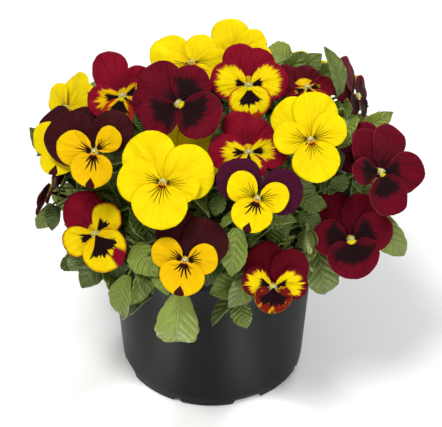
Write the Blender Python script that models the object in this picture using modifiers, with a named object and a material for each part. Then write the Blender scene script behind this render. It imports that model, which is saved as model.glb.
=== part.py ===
"""A horned violet in a black nursery pot: pot, soil, leafy stems and blooms, in metres, +Z up.

The origin is the middle of the pot's underside. The blooms and the leaves that the picture
shows are placed where it shows them, by the named view below and a distance from the front.
"""
import math
import random

import bmesh
import bpy
from mathutils import Matrix, Vector
from mathutils.bvhtree import BVHTree

MM = 0.001

# The pot, a usual 10.5 cm nursery pot
POT_HEIGHT = 88 * MM
RIM_RADIUS = 52.5 * MM
FOOT_RADIUS = 46.6 * MM
WALL = 1.2 * MM
FLOOR = 1.6 * MM
RIM_BAND = 8 * MM
RIM_STEP = 0.8 * MM
FOOT_BEVEL = 1.2 * MM
POT_STEPS = 32
NOTCH_COUNT = 8
# Height, width at the foot and width at the top, of every second notch and of those between
WIDE_NOTCH = (5 * MM, 19 * MM, 11 * MM)
NARROW_NOTCH = (3.2 * MM, 7.2 * MM, 2.6 * MM)

# How far a notch cuts in from the foot's edge, and how far its cutter stands out and below
NOTCH_DEPTH = 6 * MM
NOTCH_PROUD = 4 * MM
NOTCH_BELOW = 2 * MM

# The soil in it
GAP = 0.3 * MM
SOIL_TOP = 80 * MM
SOIL_LUMP = 1.4 * MM
SOIL_RINGS = (0.0, 0.5, 1.0)
HOLE_DEPTH = 14 * MM
HOLE_LENGTH = 40 * MM
HOLE_SIDES = 5
COLLAR = 3 * MM

# Stems, stalks and leaves
STEM_LIFT = 4 * MM
STEM_RISE = 8 * MM
LOWEST_STEM_TIP = 100 * MM
STEM_RADIUS = 1.5 * MM
STALK_RADIUS = 0.95 * MM
STALK_PULL = 8 * MM
STALK_ARCH = 2.5 * MM
PETIOLE_RADIUS = 0.9 * MM
HOLE_RADIUS = 2.5 * MM
BLADE = 0.65 * MM
LEAF_BLADE = 0.8 * MM
CLEARANCE = 1.5 * MM
POT_GUARD = 0.6 * MM
POT_GUARD_FOOT = 20 * MM
SOIL_GUARD_HALF = 33.6 * MM
LEAF_TEETH = 3
SMALL_LEAF = 13 * MM
SMALL_LEAF_TEETH = 2
TOOTH_DEPTH = 0.16
LEAF_SEED = 11
SPARE_ROUNDS = 2
# Tips of the sepals and the clefts between them, in turn, with room for the spur below
SEPAL_ANGLES = (90, 126, 162, 191, 220, 270, 320, 349, 18, 54)
SEPAL_REACH = 8.5 * MM
CLEFT_REACH = 1.8 * MM
# Heights behind the bloom's face: middle, sepal tips and clefts
CALYX_HEIGHTS = (-4.8 * MM, -6.2 * MM, -5.0 * MM)

# The view that the picture was taken from
VIEW_TARGET = Vector((4.4 * MM, 0.0, 87.8 * MM))
VIEW_DISTANCE = 900 * MM
VIEW_LIFT = math.radians(36.6)
VIEW_FOCUS = 1803
VIEW_MIDDLE = (221.0, 213.5)

# The dome that the whole plant fills
CROWN_MIDDLE = Vector((2 * MM, 0.0, 108 * MM))
CROWN_RADII = Vector((92 * MM, 88 * MM, 66 * MM))

COLOURS = {
    "pot_black": ((0.024, 0.023, 0.024), 0.42),
    "soil": ((0.035, 0.022, 0.015), 0.95),
    "green": ((0.085, 0.19, 0.035), 0.5),
    "yellow": ((0.9, 0.72, 0.005), 0.55),
    "golden": ((0.95, 0.56, 0.01), 0.55),
    "maroon": ((0.065, 0.006, 0.015), 0.6),
    "dark_red": ((0.17, 0.003, 0.012), 0.6),
    "crimson": ((0.24, 0.008, 0.02), 0.6),
}

# Each petal: axis and half spread in degrees, reach in bloom radii, height of its layer
PETALS = {
    "dorsal_left": (128, 70, 1.10, -2.7 * MM),
    "dorsal_right": (50, 70, 1.12, -1.7 * MM),
    "lateral_left": (184, 56, 0.95, -0.2 * MM),
    "lateral_right": (-4, 56, 0.95, -0.2 * MM),
    "lower": (-90, 68, 0.95, 0.9 * MM),
}
BACK_PETALS = ("dorsal_left", "dorsal_right")
FRONT_PETALS = ("lateral_left", "lateral_right", "lower")
OUTLINE_POWER = 0.38
PETAL_ROOT = 0.03
CLAW = 0.55
RUFFLE = 0.045
RUFFLE_WAVES = 7
BACK_BEND = -0.12
FRONT_BEND = 0.05
LOWER_BEND = 0.12

# The hub of a whole bloom, of its back petals and of its front petals: middle, low, high, radius
HUBS = {
    "": (0.0, -3.6 * MM, 1.5 * MM, 2.1 * MM),
    "_back": (1.3 * MM, -3.6 * MM, -1.4 * MM, 1.9 * MM),
    "_front": (0.0, -0.9 * MM, 1.5 * MM, 2.1 * MM),
}
# The spur's start and end in the bloom's axes, and its radii there
SPUR = ((0.0, -1.9 * MM, 0.4 * MM), (0.0, -2.9 * MM, -8.5 * MM))
SPUR_RADII = (1.25 * MM, 0.7 * MM)
# How far above the middle of the bloom its stalk ends, and the length of the stalk's neck
STALK_RISE = 1.2 * MM
STALK_NECK = 1.6 * MM

# Colours of the back petals and the front petals by kind of bloom
KINDS = {
    "yellow": ("yellow", "yellow"),
    "red": ("dark_red", "dark_red"),
    "bicolour": ("maroon", "golden"),
    "tricolour": ("crimson", "golden"),
}


class Bloom:
    """One bloom: its eye on the picture, how far forward it is and which way it looks."""

    def __init__(self, name, kind, stem, eye_px, forward, turn, lift, roll, width,
                 rows=2, petals=None, hidden=()):
        self.name = name
        self.kind = kind
        self.stem = stem
        self.eye = seen_at(eye_px, -forward * MM)
        self.turn = math.radians(turn)
        self.lift = math.radians(lift)
        self.roll = math.radians(roll)
        self.radius = width * MM / 2
        self.rows = rows
        self.petals = dict(PETALS)
        for role, changes in (petals or {}).items():
            self.petals[role] = changes + (PETALS[role][3],)
        for role in hidden:
            del self.petals[role]


class Leaf:
    """One leaf that the picture shows: where its blade starts and ends, and its width."""

    def __init__(self, stem, base_px, base_forward, tip_px, tip_forward, width, turn=0.0,
                 sag=0.12):
        self.stem = stem
        self.base = seen_at(base_px, -base_forward * MM)
        self.tip = seen_at(tip_px, -tip_forward * MM)
        self.width = width * MM
        self.turn = math.radians(turn)
        self.sag = sag


def seen_at(pixel, depth):
    """The point at y = depth that the picture shows at this pixel."""
    back = Vector((0, -math.cos(VIEW_LIFT), math.sin(VIEW_LIFT)))
    up = Vector((0, math.sin(VIEW_LIFT), math.cos(VIEW_LIFT)))
    right = Vector((1, 0, 0))
    eye = VIEW_TARGET + back * VIEW_DISTANCE
    across = (pixel[0] - VIEW_MIDDLE[0]) / VIEW_FOCUS
    above = (VIEW_MIDDLE[1] - pixel[1]) / VIEW_FOCUS
    ray = right * across + up * above - back
    return eye + ray * ((depth - eye.y) / ray.y)


def around(x, y, z):
    """A point given in millimetres."""
    return Vector((x, y, z)) * MM


BLOOMS = (
    Bloom("maroon_gold_left", "bicolour", "stem_left", (94.6, 151.5), 47, -15, 30, 15, 41,
          petals={"dorsal_left": (150, 62, 1.26), "dorsal_right": (43, 56, 1.04),
                  "lateral_left": (165, 56, 0.87), "lateral_right": (32, 46, 0.74),
                  "lower": (-104, 78, 0.82)}),
    Bloom("maroon_gold_far_left", "bicolour", "stem_far_left", (64, 140), 28, -38, 38, 12, 36,
          petals={"dorsal_left": (142, 56, 1.15), "dorsal_right": (52, 56, 1.1)}),
    Bloom("yellow_left_back", "yellow", "stem_left_back", (66, 108), 3, -62, 30, -6, 34, rows=1,
          hidden=("lower",)),
    Bloom("maroon_side_left", "bicolour", "stem_far_left", (50, 187), 28.5, -104, 12, 5, 34),
    Bloom("painted_low_left", "tricolour", "stem_left", (95.5, 233.8), 50, -18, 30, 42, 41,
          petals={"dorsal_left": (96, 60, 1.06), "dorsal_right": (62, 42, 0.8),
                  "lateral_left": (170, 50, 0.85), "lateral_right": (20, 56, 0.82),
                  "lower": (-87, 80, 0.93)}),
    Bloom("yellow_front", "yellow", "stem_front_left", (163, 181.4), 65.5, -5, 35, -9, 46,
          petals={"dorsal_left": (134, 64, 1.05), "dorsal_right": (32, 68, 1.03),
                  "lateral_left": (190, 58, 0.9), "lateral_right": (-2, 50, 0.74),
                  "lower": (-86, 76, 0.93)}),
    Bloom("yellow_behind_front", "yellow", "stem_middle", (186, 158), 41.5, 12, 40, -10, 36,
          rows=1, hidden=("lower",)),
    Bloom("red_top", "red", "stem_upper_left", (178.4, 103.5), 36, -5, 46, 58, 44,
          petals={"dorsal_left": (120, 52, 1.0), "dorsal_right": (77, 58, 1.08),
                  "lateral_left": (158, 60, 0.87), "lateral_right": (3, 58, 0.88),
                  "lower": (-86, 66, 1.0)}),
    Bloom("painted_top_left", "tricolour", "stem_upper_left", (122.6, 96), 22, -18, 40, 28, 39,
          petals={"dorsal_left": (104, 44, 1.24), "dorsal_right": (34, 46, 0.86),
                  "lateral_left": (176, 54, 0.86), "lateral_right": (0, 50, 0.7),
                  "lower": (-118, 60, 0.8)}),
    Bloom("yellow_top", "yellow", "stem_middle", (191.7, 62.8), 6, -8, 52, 4, 42,
          petals={"dorsal_left": (152, 54, 1.06), "dorsal_right": (66, 56, 0.76),
                  "lateral_left": (204, 46, 0.7), "lateral_right": (6, 42, 0.84),
                  "lower": (-62, 54, 0.8)}),
    Bloom("yellow_crest", "yellow", "stem_upper_right", (234, 58), -9, 4, 34, -8, 40, rows=1,
          petals={"dorsal_left": (103, 58, 0.96), "dorsal_right": (44, 46, 0.92)}),
    Bloom("painted_top", "tricolour", "stem_right_middle", (248.5, 85.5), 20.5, 4, 35, 0, 36,
          petals={"dorsal_left": (104, 48, 1.12), "dorsal_right": (64, 50, 1.04),
                  "lateral_left": (164, 60, 1.0), "lateral_right": (10, 60, 1.02),
                  "lower": (-88, 84, 0.86)}),
    Bloom("painted_top_right", "tricolour", "stem_upper_right", (307, 88), 13, 28, 56, -4, 34,
          petals={"dorsal_left": (130, 56, 1.04), "dorsal_right": (62, 50, 0.8),
                  "lateral_left": (190, 50, 0.8), "lateral_right": (-8, 50, 0.8)}),
    Bloom("yellow_right", "yellow", "stem_right", (310.5, 139.6), 50, 9, 35, 8, 42,
          petals={"dorsal_left": (112, 58, 1.02), "dorsal_right": (62, 58, 1.06),
                  "lateral_left": (162, 52, 0.82), "lateral_right": (14, 54, 0.84),
                  "lower": (-90, 70, 0.94)}),
    Bloom("painted_middle", "tricolour", "stem_right_middle", (248.5, 152.4), 48.5, 3, 40, 0, 38,
          petals={"dorsal_left": (106, 44, 1.08), "dorsal_right": (64, 46, 0.9),
                  "lateral_left": (178, 56, 0.96), "lateral_right": (6, 58, 0.96),
                  "lower": (-90, 70, 0.76)}),
    Bloom("plum_gold_middle", "bicolour", "stem_front_right", (257.2, 198.6), 74, 5, 30, -20, 40,
          petals={"dorsal_left": (150, 60, 1.04), "dorsal_right": (30, 60, 1.08),
                  "lateral_left": (160, 56, 0.77), "lateral_right": (20, 58, 0.72),
                  "lower": (-92, 78, 0.78)}),
    Bloom("maroon_gold_front", "bicolour", "stem_front_left", (185, 260), 80, -4, 30, -4, 38,
          petals={"dorsal_left": (110, 60, 1.16), "dorsal_right": (48, 62, 1.16),
                  "lateral_left": (166, 54, 0.84), "lateral_right": (9, 56, 0.8),
                  "lower": (-94, 84, 0.86)}),
    Bloom("painted_low_right", "tricolour", "stem_front_right", (273, 286.8), 76, 3, 24, 0, 34,
          petals={"dorsal_left": (108, 58, 1.22), "dorsal_right": (44, 54, 1.2),
                  "lateral_left": (160, 56, 0.88), "lateral_right": (8, 56, 0.96),
                  "lower": (-90, 100, 0.72)}),
    Bloom("red_right", "red", "stem_right", (350.9, 238.9), 54, 10, 30, 3, 41,
          petals={"dorsal_left": (117, 52, 1.18), "dorsal_right": (52, 58, 1.08),
                  "lateral_left": (168, 56, 0.9), "lateral_right": (9, 56, 0.98),
                  "lower": (-90, 92, 0.92)}),
    Bloom("red_far_right", "red", "stem_far_right", (380.8, 171.4), 45, 40, 26, 12, 40,
          petals={"dorsal_left": (84, 50, 1.04), "dorsal_right": (26, 52, 1.2),
                  "lateral_left": (146, 44, 0.86), "lateral_right": (-36, 46, 1.25),
                  "lower": (-108, 64, 1.06)}),
    Bloom("red_behind_right", "red", "stem_far_right", (369, 152), 25, 26, 42, -5, 36, rows=1,
          petals={"dorsal_left": (142, 60, 0.92), "dorsal_right": (80, 54, 0.84)},
          hidden=("lower",)),
    Bloom("red_side_right", "red", "stem_right_back", (357, 96), -6, 74, 16, 0, 36,
          petals={"dorsal_left": (112, 60, 1.06), "dorsal_right": (66, 60, 1.1),
                  "lateral_left": (184, 50, 0.66), "lateral_right": (-4, 50, 0.8),
                  "lower": (-90, 60, 0.6)}),
    Bloom("yellow_rear_right", "yellow", "stem_right_back", (330, 70), -52, 146, 32, 8, 40,
          rows=1),
    Bloom("red_rear", "red", "stem_rear", (268, 62), -78, 172, 26, -10, 42, rows=1),
    Bloom("yellow_rear", "yellow", "stem_rear", (196, 60), -63, 192, 44, 6, 42, rows=1),
    Bloom("maroon_gold_rear", "bicolour", "stem_rear_left", (136, 84), -72, 214, 28, 0, 40,
          rows=1),
    Bloom("red_rear_left", "red", "stem_rear_left", (92, 96), -39.5, 238, 34, 10, 38, rows=1),
)

# Where each stem stands in the soil: distance from the middle in mm, degrees right of front
STEMS = {
    "stem_front_left": (30, -22),
    "stem_front_right": (30, 20),
    "stem_right": (30, 52),
    "stem_far_right": (31, 82),
    "stem_left": (30, -56),
    "stem_far_left": (31, -88),
    "stem_upper_left": (14, -60),
    "stem_middle": (14, -10),
    "stem_right_middle": (14, 40),
    "stem_upper_right": (14, 100),
    "stem_left_back": (30, -122),
    "stem_right_back": (30, 116),
    "stem_rear": (18, 178),
    "stem_rear_left": (32, -154),
    "stem_low_left": (39, -36),
    "stem_low_right": (39, 36),
    "stem_low_rear": (34, 152),
}
# Those on the unseen side, which get leaves by a seeded draw
SPARE_STEMS = ("stem_rear", "stem_low_rear", "stem_left_back", "stem_rear_left",
               "stem_right_back")
LOW_STEM_TIPS = {
    "stem_low_left": around(-33, -53, 109),
    "stem_low_right": around(34, -54, 106),
    "stem_low_rear": around(30, 58, 112),
}

LEAVES = (
    Leaf("stem_front_left", (180, 292), 66, (176, 341), 60, 21, sag=0.18),
    Leaf("stem_low_left", (152, 294), 60, (121, 320), 56, 11, turn=42),
    Leaf("stem_low_left", (104, 262), 50, (133, 304), 58, 15, turn=-18),
    Leaf("stem_low_left", (112, 250), 46, (86, 288), 52, 14, turn=20),
    Leaf("stem_front_left", (140, 262), 58, (146, 296), 68, 12, turn=-34),
    Leaf("stem_front_right", (238, 228), 66, (232, 276), 74, 13, turn=8),
    Leaf("stem_low_right", (242, 276), 62, (210, 294), 68, 13, turn=-12),
    Leaf("stem_low_right", (243, 292), 60, (212, 326), 66, 9, turn=44),
    Leaf("stem_low_right", (240, 300), 58, (247, 328), 64, 11, turn=22),
    Leaf("stem_right", (318, 250), 46, (324, 294), 48, 16, turn=-6, sag=0.16),
    Leaf("stem_right", (372, 206), 42, (402, 258), 40, 15, turn=16, sag=0.16),
    Leaf("stem_upper_right", (334, 100), 10, (326, 52), 4, 10, turn=30),
    Leaf("stem_upper_right", (290, 62), -14, (262, 54), -18, 15, turn=36),
    Leaf("stem_upper_right", (312, 82), -8, (334, 74), -14, 14, turn=-30),
    Leaf("stem_right_back", (352, 118), 8, (345, 142), 24, 12, turn=28),
    Leaf("stem_far_right", (360, 130), 8, (393, 112), 4, 10, turn=14),
    Leaf("stem_middle", (240, 112), 36, (210, 131), 42, 13, turn=-6),
    Leaf("stem_right_middle", (262, 232), 52, (292, 222), 56, 13, turn=30),
    Leaf("stem_left", (134, 212), 48, (150, 244), 60, 13, turn=-24),
    Leaf("stem_far_left", (48, 160), 18, (30, 132), 14, 11, turn=20),
    Leaf("stem_far_left", (53, 204), 28, (37, 228), 30, 10, turn=-22),
    Leaf("stem_far_left", (58, 206), 30, (52, 230), 34, 8, turn=26),
    Leaf("stem_left_back", (86, 122), 10, (84, 94), 14, 9, turn=36),
    Leaf("stem_right", (318, 172), 36, (346, 184), 38, 15, turn=26),
    Leaf("stem_right_middle", (286, 178), 44, (316, 208), 42, 13, turn=-26),
    Leaf("stem_left", (66, 256), 36, (76, 270), 40, 11, turn=0),
)


def remove_everything():
    for thing in list(bpy.data.objects):
        bpy.data.objects.remove(thing)


def collection(name):
    group = bpy.data.collections.new(name)
    bpy.context.scene.collection.children.link(group)
    return group


def material(name):
    colour, roughness = COLOURS[name]
    made = bpy.data.materials.get(name) or bpy.data.materials.new(name)
    made.use_nodes = True
    shader = made.node_tree.nodes["Principled BSDF"]
    shader.inputs["Base Color"].default_value = (*colour, 1.0)
    shader.inputs["Roughness"].default_value = roughness
    shader.inputs["Metallic"].default_value = 0.0
    return made


def mesh_object(name, points, faces, group):
    mesh = bpy.data.meshes.new(name)
    mesh.from_pydata([tuple(point) for point in points], [], faces)
    made = bpy.data.objects.new(name, mesh)
    group.objects.link(made)
    return made


def turned(name, profile, steps, group):
    """A closed turned solid from an outline of (radius, height) that starts and ends on the axis."""
    points = [(radius, 0.0, height) for radius, height in profile]
    mesh = bpy.data.meshes.new(name)
    mesh.from_pydata(points, [(i, i + 1) for i in range(len(points) - 1)], [])
    made = bpy.data.objects.new(name, mesh)
    group.objects.link(made)
    screw = made.modifiers.new("turn", "SCREW")
    screw.steps = steps
    screw.render_steps = steps
    screw.use_merge_vertices = True
    screw.merge_threshold = 0.00001
    return made


def apply_modifiers(thing):
    """Keep the evaluated shape as the object's own mesh."""
    graph = bpy.context.evaluated_depsgraph_get()
    shape = bpy.data.meshes.new_from_object(thing.evaluated_get(graph))
    thing.modifiers.clear()
    thing.data = shape


def weld(mesh, distance=0.00001):
    """Join loose ends, such as a curve's caps, and turn every face outward."""
    shape = bmesh.new()
    shape.from_mesh(mesh)
    bmesh.ops.remove_doubles(shape, verts=shape.verts, dist=distance)
    bmesh.ops.recalc_face_normals(shape, faces=shape.faces)
    shape.to_mesh(mesh)
    shape.free()


def join_into(base, others, solver="MANIFOLD"):
    """One body of the base and every object of the collection, which is then emptied."""
    joint = base.modifiers.new("join", "BOOLEAN")
    joint.operation = "UNION"
    joint.operand_type = "COLLECTION"
    joint.collection = others
    joint.solver = solver
    apply_modifiers(base)
    for thing in list(others.objects):
        bpy.data.objects.remove(thing)
    bpy.data.collections.remove(others)


def keep_largest_body(mesh):
    """Drop loose scraps and sealed hollows, so that one outer skin is left."""
    shape = bmesh.new()
    shape.from_mesh(mesh)
    left = set(shape.faces)
    bodies = []
    while left:
        body = [left.pop()]
        for face in body:
            for edge in face.edges:
                for other in edge.link_faces:
                    if other in left:
                        left.remove(other)
                        body.append(other)
        bodies.append(body)
    bodies.sort(key=len)
    for body in bodies[:-1]:
        bmesh.ops.delete(shape, geom=body, context="FACES")
    loose = [vert for vert in shape.verts if not vert.link_faces]
    bmesh.ops.delete(shape, geom=loose, context="VERTS")
    shape.to_mesh(mesh)
    shape.free()


def finish(thing, colour, smooth_angle=35):
    thing.data.materials.clear()
    thing.data.materials.append(material(colour))
    thing.data.shade_smooth()
    thing.data.set_sharp_from_angle(angle=math.radians(smooth_angle))


# Pot and soil

def wall_radius(height):
    return FOOT_RADIUS + (RIM_RADIUS - FOOT_RADIUS) * height / POT_HEIGHT


def pot_outline():
    """Outer wall from the rim down, the underside, then the inside up again."""
    band_foot = POT_HEIGHT - RIM_BAND
    return [
        (0.0, FLOOR),
        (wall_radius(FLOOR) - WALL, FLOOR),
        (wall_radius(band_foot) - WALL, band_foot),
        (wall_radius(POT_HEIGHT) - WALL, POT_HEIGHT),
        (wall_radius(POT_HEIGHT) + RIM_STEP, POT_HEIGHT),
        (wall_radius(band_foot) + RIM_STEP, band_foot),
        (wall_radius(band_foot), band_foot - RIM_STEP),
        (wall_radius(FOOT_BEVEL), FOOT_BEVEL),
        (wall_radius(0.0) - FOOT_BEVEL, 0.0),
        (0.0, 0.0),
    ]


def notch_cutter(index, cutters):
    """A drain notch: a wedge through wall and floor corner, wider at the foot."""
    height, foot_width, top_width = NARROW_NOTCH if index % 2 else WIDE_NOTCH
    inner = FOOT_RADIUS - NOTCH_DEPTH
    outer = FOOT_RADIUS + NOTCH_PROUD
    shape = bmesh.new()
    bmesh.ops.create_cube(shape, size=1.0)
    for vert in shape.verts:
        upper = vert.co.z > 0
        side = math.copysign((top_width if upper else foot_width) / 2, vert.co.y)
        vert.co = Vector((outer if vert.co.x > 0 else inner, side,
                          height if upper else -NOTCH_BELOW))
    mesh = bpy.data.meshes.new("notch")
    shape.to_mesh(mesh)
    shape.free()
    cutter = bpy.data.objects.new(f"notch_{index + 1}", mesh)
    turn = (index + 0.5) * math.tau / NOTCH_COUNT + math.pi
    cutter.rotation_euler = (0, 0, turn)
    cutter.hide_render = True
    cutter.display_type = "WIRE"
    cutters.objects.link(cutter)


def build_pot(parts, cutters):
    pot = turned("pot", pot_outline(), POT_STEPS, parts)
    for index in range(NOTCH_COUNT):
        notch_cutter(index, cutters)
    cut = pot.modifiers.new("notches", "BOOLEAN")
    cut.operation = "DIFFERENCE"
    cut.operand_type = "COLLECTION"
    cut.collection = cutters
    bpy.context.view_layer.update()
    apply_modifiers(pot)
    finish(pot, "pot_black", 30)
    return pot


def soil_height(x, y):
    """The lumpy top of the soil, as a sum of two slow waves."""
    broad = math.sin(110 * x + 1.0) * math.cos(130 * y)
    fine = 0.5 * math.sin(260 * x - 190 * y)
    return SOIL_TOP + SOIL_LUMP * (broad + fine)


def soil_outline():
    foot = FLOOR + GAP
    foot_radius = wall_radius(foot) - WALL - GAP
    top_radius = wall_radius(SOIL_TOP) - WALL - GAP
    top = [(top_radius * share, SOIL_TOP) for share in SOIL_RINGS]
    return top + [(foot_radius, foot), (0.0, foot)]


def build_soil(parts, stems):
    soil = turned("soil", soil_outline(), POT_STEPS, parts)
    apply_modifiers(soil)
    edge = SOIL_TOP - MM
    for vert in soil.data.vertices:
        if vert.co.z > edge:
            vert.co.z = soil_height(vert.co.x, vert.co.y)
    holes = collection("soil_holes")
    for name, path in stems.items():
        foot = path[0]
        bpy.ops.mesh.primitive_cylinder_add(vertices=HOLE_SIDES, radius=HOLE_RADIUS,
                                            depth=HOLE_LENGTH)
        hole = bpy.context.object
        hole.name = f"hole_{name}"
        for old in hole.users_collection:
            old.objects.unlink(hole)
        holes.objects.link(hole)
        hole.location = (foot.x, foot.y, foot.z - GAP + HOLE_LENGTH / 2)
    bpy.context.view_layer.update()
    cut = soil.modifiers.new("holes", "BOOLEAN")
    cut.operation = "DIFFERENCE"
    cut.operand_type = "COLLECTION"
    cut.collection = holes
    apply_modifiers(soil)
    for hole in list(holes.objects):
        bpy.data.objects.remove(hole)
    bpy.data.collections.remove(holes)
    finish(soil, "soil", 40)
    return soil


# Petals

def bloom_axes(bloom):
    """Matrix from the bloom's own axes, x right, y up and z out of its face, to the world."""
    out = Vector((math.sin(bloom.turn) * math.cos(bloom.lift),
                  -math.cos(bloom.turn) * math.cos(bloom.lift),
                  math.sin(bloom.lift)))
    up = (Vector((0, 0, 1)) - out * out.z).normalized()
    right = up.cross(out)
    turned_up = up * math.cos(bloom.roll) - right * math.sin(bloom.roll)
    turned_right = turned_up.cross(out)
    axes = Matrix((turned_right, turned_up, out)).transposed().to_4x4()
    axes.translation = bloom.eye
    return axes


def petal_point(bloom, role, side, along):
    """A point of a petal: side runs from -1 to 1 across it, along from 0 at the throat to 1."""
    axis, spread, reach, layer = bloom.petals[role]
    across = math.sin(side * math.pi / 2)
    narrowing = CLAW + (1 - CLAW) * along
    angle = math.radians(axis + spread * across * narrowing)
    edge = max(math.cos(across * math.pi / 2), PETAL_ROOT) ** OUTLINE_POWER
    distance = reach * bloom.radius * edge * along
    share = distance / bloom.radius
    bend = {"lower": LOWER_BEND}.get(role, BACK_BEND if role in BACK_PETALS else FRONT_BEND)
    ruffle = RUFFLE * share ** 3 * math.sin(RUFFLE_WAVES * angle + bloom.roll * 3)
    height = layer + bloom.radius * (bend * share ** 2 + ruffle)
    return Vector((distance * math.cos(angle), distance * math.sin(angle), height))


def petal_sheet(bloom, role):
    """Triangles of one petal: two from the throat to three points halfway, then the edge."""
    columns = 6 if bloom.rows > 1 else 4
    edge = [petal_point(bloom, role, step * 2 / columns - 1, 1.0) for step in range(columns + 1)]
    points = [petal_point(bloom, role, 0.0, 0.0)]
    if bloom.rows == 1:
        points += edge
        return points, [(0, step + 1, step + 2) for step in range(columns)]
    points += [petal_point(bloom, role, side, 0.62) for side in (-0.62, 0.0, 0.62)]
    points += edge
    faces = [(0, 1, 2), (0, 2, 3)]
    for step in range(columns):
        inner = 1 + (step + 1) // 3
        faces.append((inner, step + 4, step + 5))
        following = 1 + (step + 2) // 3
        if following != inner and following < 4:
            faces.append((inner, step + 5, following))
    return points, faces


def add_blade(name, points, faces, group, thickness=BLADE):
    """An open sheet of triangles given its thickness, half to each side."""
    blade = mesh_object(name, points, faces, group)
    solid = blade.modifiers.new("thickness", "SOLIDIFY")
    solid.thickness = thickness
    solid.offset = 0.0
    return blade


def three_sided_section():
    """The cross section of stems and stalks, a triangle of radius 1."""
    curve = bpy.data.curves.new("section", "CURVE")
    curve.dimensions = "2D"
    line = curve.splines.new("POLY")
    line.points.add(2)
    for index, point in enumerate(line.points):
        angle = -index * math.tau / 3
        point.co = (math.cos(angle), math.sin(angle), 0.0, 1.0)
    line.use_cyclic_u = True
    section = bpy.data.objects.new("section", curve)
    bpy.context.scene.collection.objects.link(section)
    section.hide_render = True
    section.display_type = "WIRE"
    return section


def tube(name, path, radii, group):
    """A tapering tube with closed ends through the points of a path, as a mesh."""
    curve = bpy.data.curves.new(name, "CURVE")
    curve.dimensions = "3D"
    curve.bevel_mode = "OBJECT"
    curve.bevel_object = bpy.data.objects["section"]
    curve.use_fill_caps = True
    line = curve.splines.new("POLY")
    line.points.add(len(path) - 1)
    for point, place, radius in zip(line.points, path, radii):
        point.co = (*place, 1.0)
        point.radius = radius
    guide = bpy.data.objects.new(name, curve)
    bpy.context.scene.collection.objects.link(guide)
    graph = bpy.context.evaluated_depsgraph_get()
    mesh = bpy.data.meshes.new_from_object(guide.evaluated_get(graph))
    weld(mesh)
    bpy.data.objects.remove(guide)
    made = bpy.data.objects.new(name, mesh)
    group.objects.link(made)
    return made


def throat(name, bloom, ending, group):
    """The short hub that the petals of a node grow from."""
    middle, low, high, radius = HUBS[ending]
    bpy.ops.mesh.primitive_cone_add(vertices=4, radius1=radius * 0.8, radius2=radius,
                                    depth=high - low)
    hub = bpy.context.object
    hub.name = name
    for old in hub.users_collection:
        old.objects.unlink(hub)
    group.objects.link(hub)
    axes = bloom_axes(bloom)
    hub.matrix_world = axes @ Matrix.Translation((0, middle, (low + high) / 2))
    bpy.context.view_layer.update()
    mesh = hub.data
    mesh.transform(hub.matrix_world)
    hub.matrix_world = Matrix.Identity(4)
    return hub


def spur(bloom, group):
    """The horn that the lower petal carries behind the bloom."""
    axes = bloom_axes(bloom)
    return tube(f"{bloom.name}_spur", [axes @ Vector(place) for place in SPUR], SPUR_RADII, group)


def build_bloom(bloom, parts):
    """One node for a bloom of one colour, two for one whose back petals differ."""
    back_colour, front_colour = KINDS[bloom.kind]
    one_colour = back_colour == front_colour
    groups = [("", front_colour, BACK_PETALS + FRONT_PETALS)]
    if not one_colour:
        groups = [("_back", back_colour, BACK_PETALS), ("_front", front_colour, FRONT_PETALS)]
    for ending, colour, roles in groups:
        name = f"bloom_{bloom.name}{ending}"
        others = collection(f"{name}_petals")
        axes = bloom_axes(bloom)
        for role in roles:
            if role not in bloom.petals:
                continue
            points, faces = petal_sheet(bloom, role)
            add_blade(f"{name}_{role}", [axes @ point for point in points], faces, others)
        hub = throat(name, bloom, ending, parts)
        if ending != "_back":
            spur(bloom, others)
        bpy.context.view_layer.update()
        join_into(hub, others)
        keep_largest_body(hub.data)
        finish(hub, colour, 50)


# Clearance between nodes

def fat_sheet(points, faces, thickness):
    """Both skins and the rim of a sheet given a thickness, for telling what it runs into."""
    normals = [Vector() for _ in points]
    for face in faces:
        a, b, c = (points[index] for index in face[:3])
        normal = (b - a).cross(c - a)
        for index in face:
            normals[index] += normal
    shifts = [normal.normalized() * thickness / 2 for normal in normals]
    skins = [point + shift for point, shift in zip(points, shifts)]
    skins += [point - shift for point, shift in zip(points, shifts)]
    count = len(points)
    edges = [(face[i - 1], face[i]) for face in faces for i in range(len(face))]
    single = set(edges)
    rim = [(a, b, b + count, a + count) for a, b in edges if (b, a) not in single]
    far = [tuple(index + count for index in face) for face in faces]
    return skins, list(faces) + far + rim


def fat_tube(path, radius):
    """A square tube along a path, for telling what it would run into."""
    points = []
    faces = []
    for index, place in enumerate(path):
        ahead = path[min(index + 1, len(path) - 1)] - path[max(index - 1, 0)]
        side = ahead.cross(Vector((0.3, 0.5, 1.0))).normalized() * radius
        over = ahead.cross(side).normalized() * radius
        points += [place + side, place + over, place - side, place - over]
    for index in range(len(path) - 1):
        for corner in range(4):
            a = index * 4 + corner
            b = index * 4 + (corner + 1) % 4
            faces.append((a, b, b + 4, a + 4))
    return points, faces


class Space:
    """What is placed already, so that pieces of different nodes stay clear of each other."""

    def __init__(self):
        self.taken = []

    def add(self, node, points, faces):
        self.taken.append((node, BVHTree.FromPolygons(points, faces)))

    def is_clear(self, node, points, faces):
        """Whether these faces cross nothing that another node owns."""
        tree = BVHTree.FromPolygons(points, faces)
        return not any(owner != node and tree.overlap(other) for owner, other in self.taken)


def fill_with_blooms(space):
    for bloom in BLOOMS:
        axes = bloom_axes(bloom)
        for role in bloom.petals:
            points, faces = petal_sheet(bloom, role)
            space.add(bloom.name, *fat_sheet([axes @ point for point in points], faces, BLADE * 1.6))
        horn = [axes @ Vector((0, -2.3 * MM, 0.4 * MM)), axes @ Vector((0, -2.0 * MM, -9 * MM))]
        space.add(bloom.name, *fat_tube(horn, 1.6 * MM))


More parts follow.
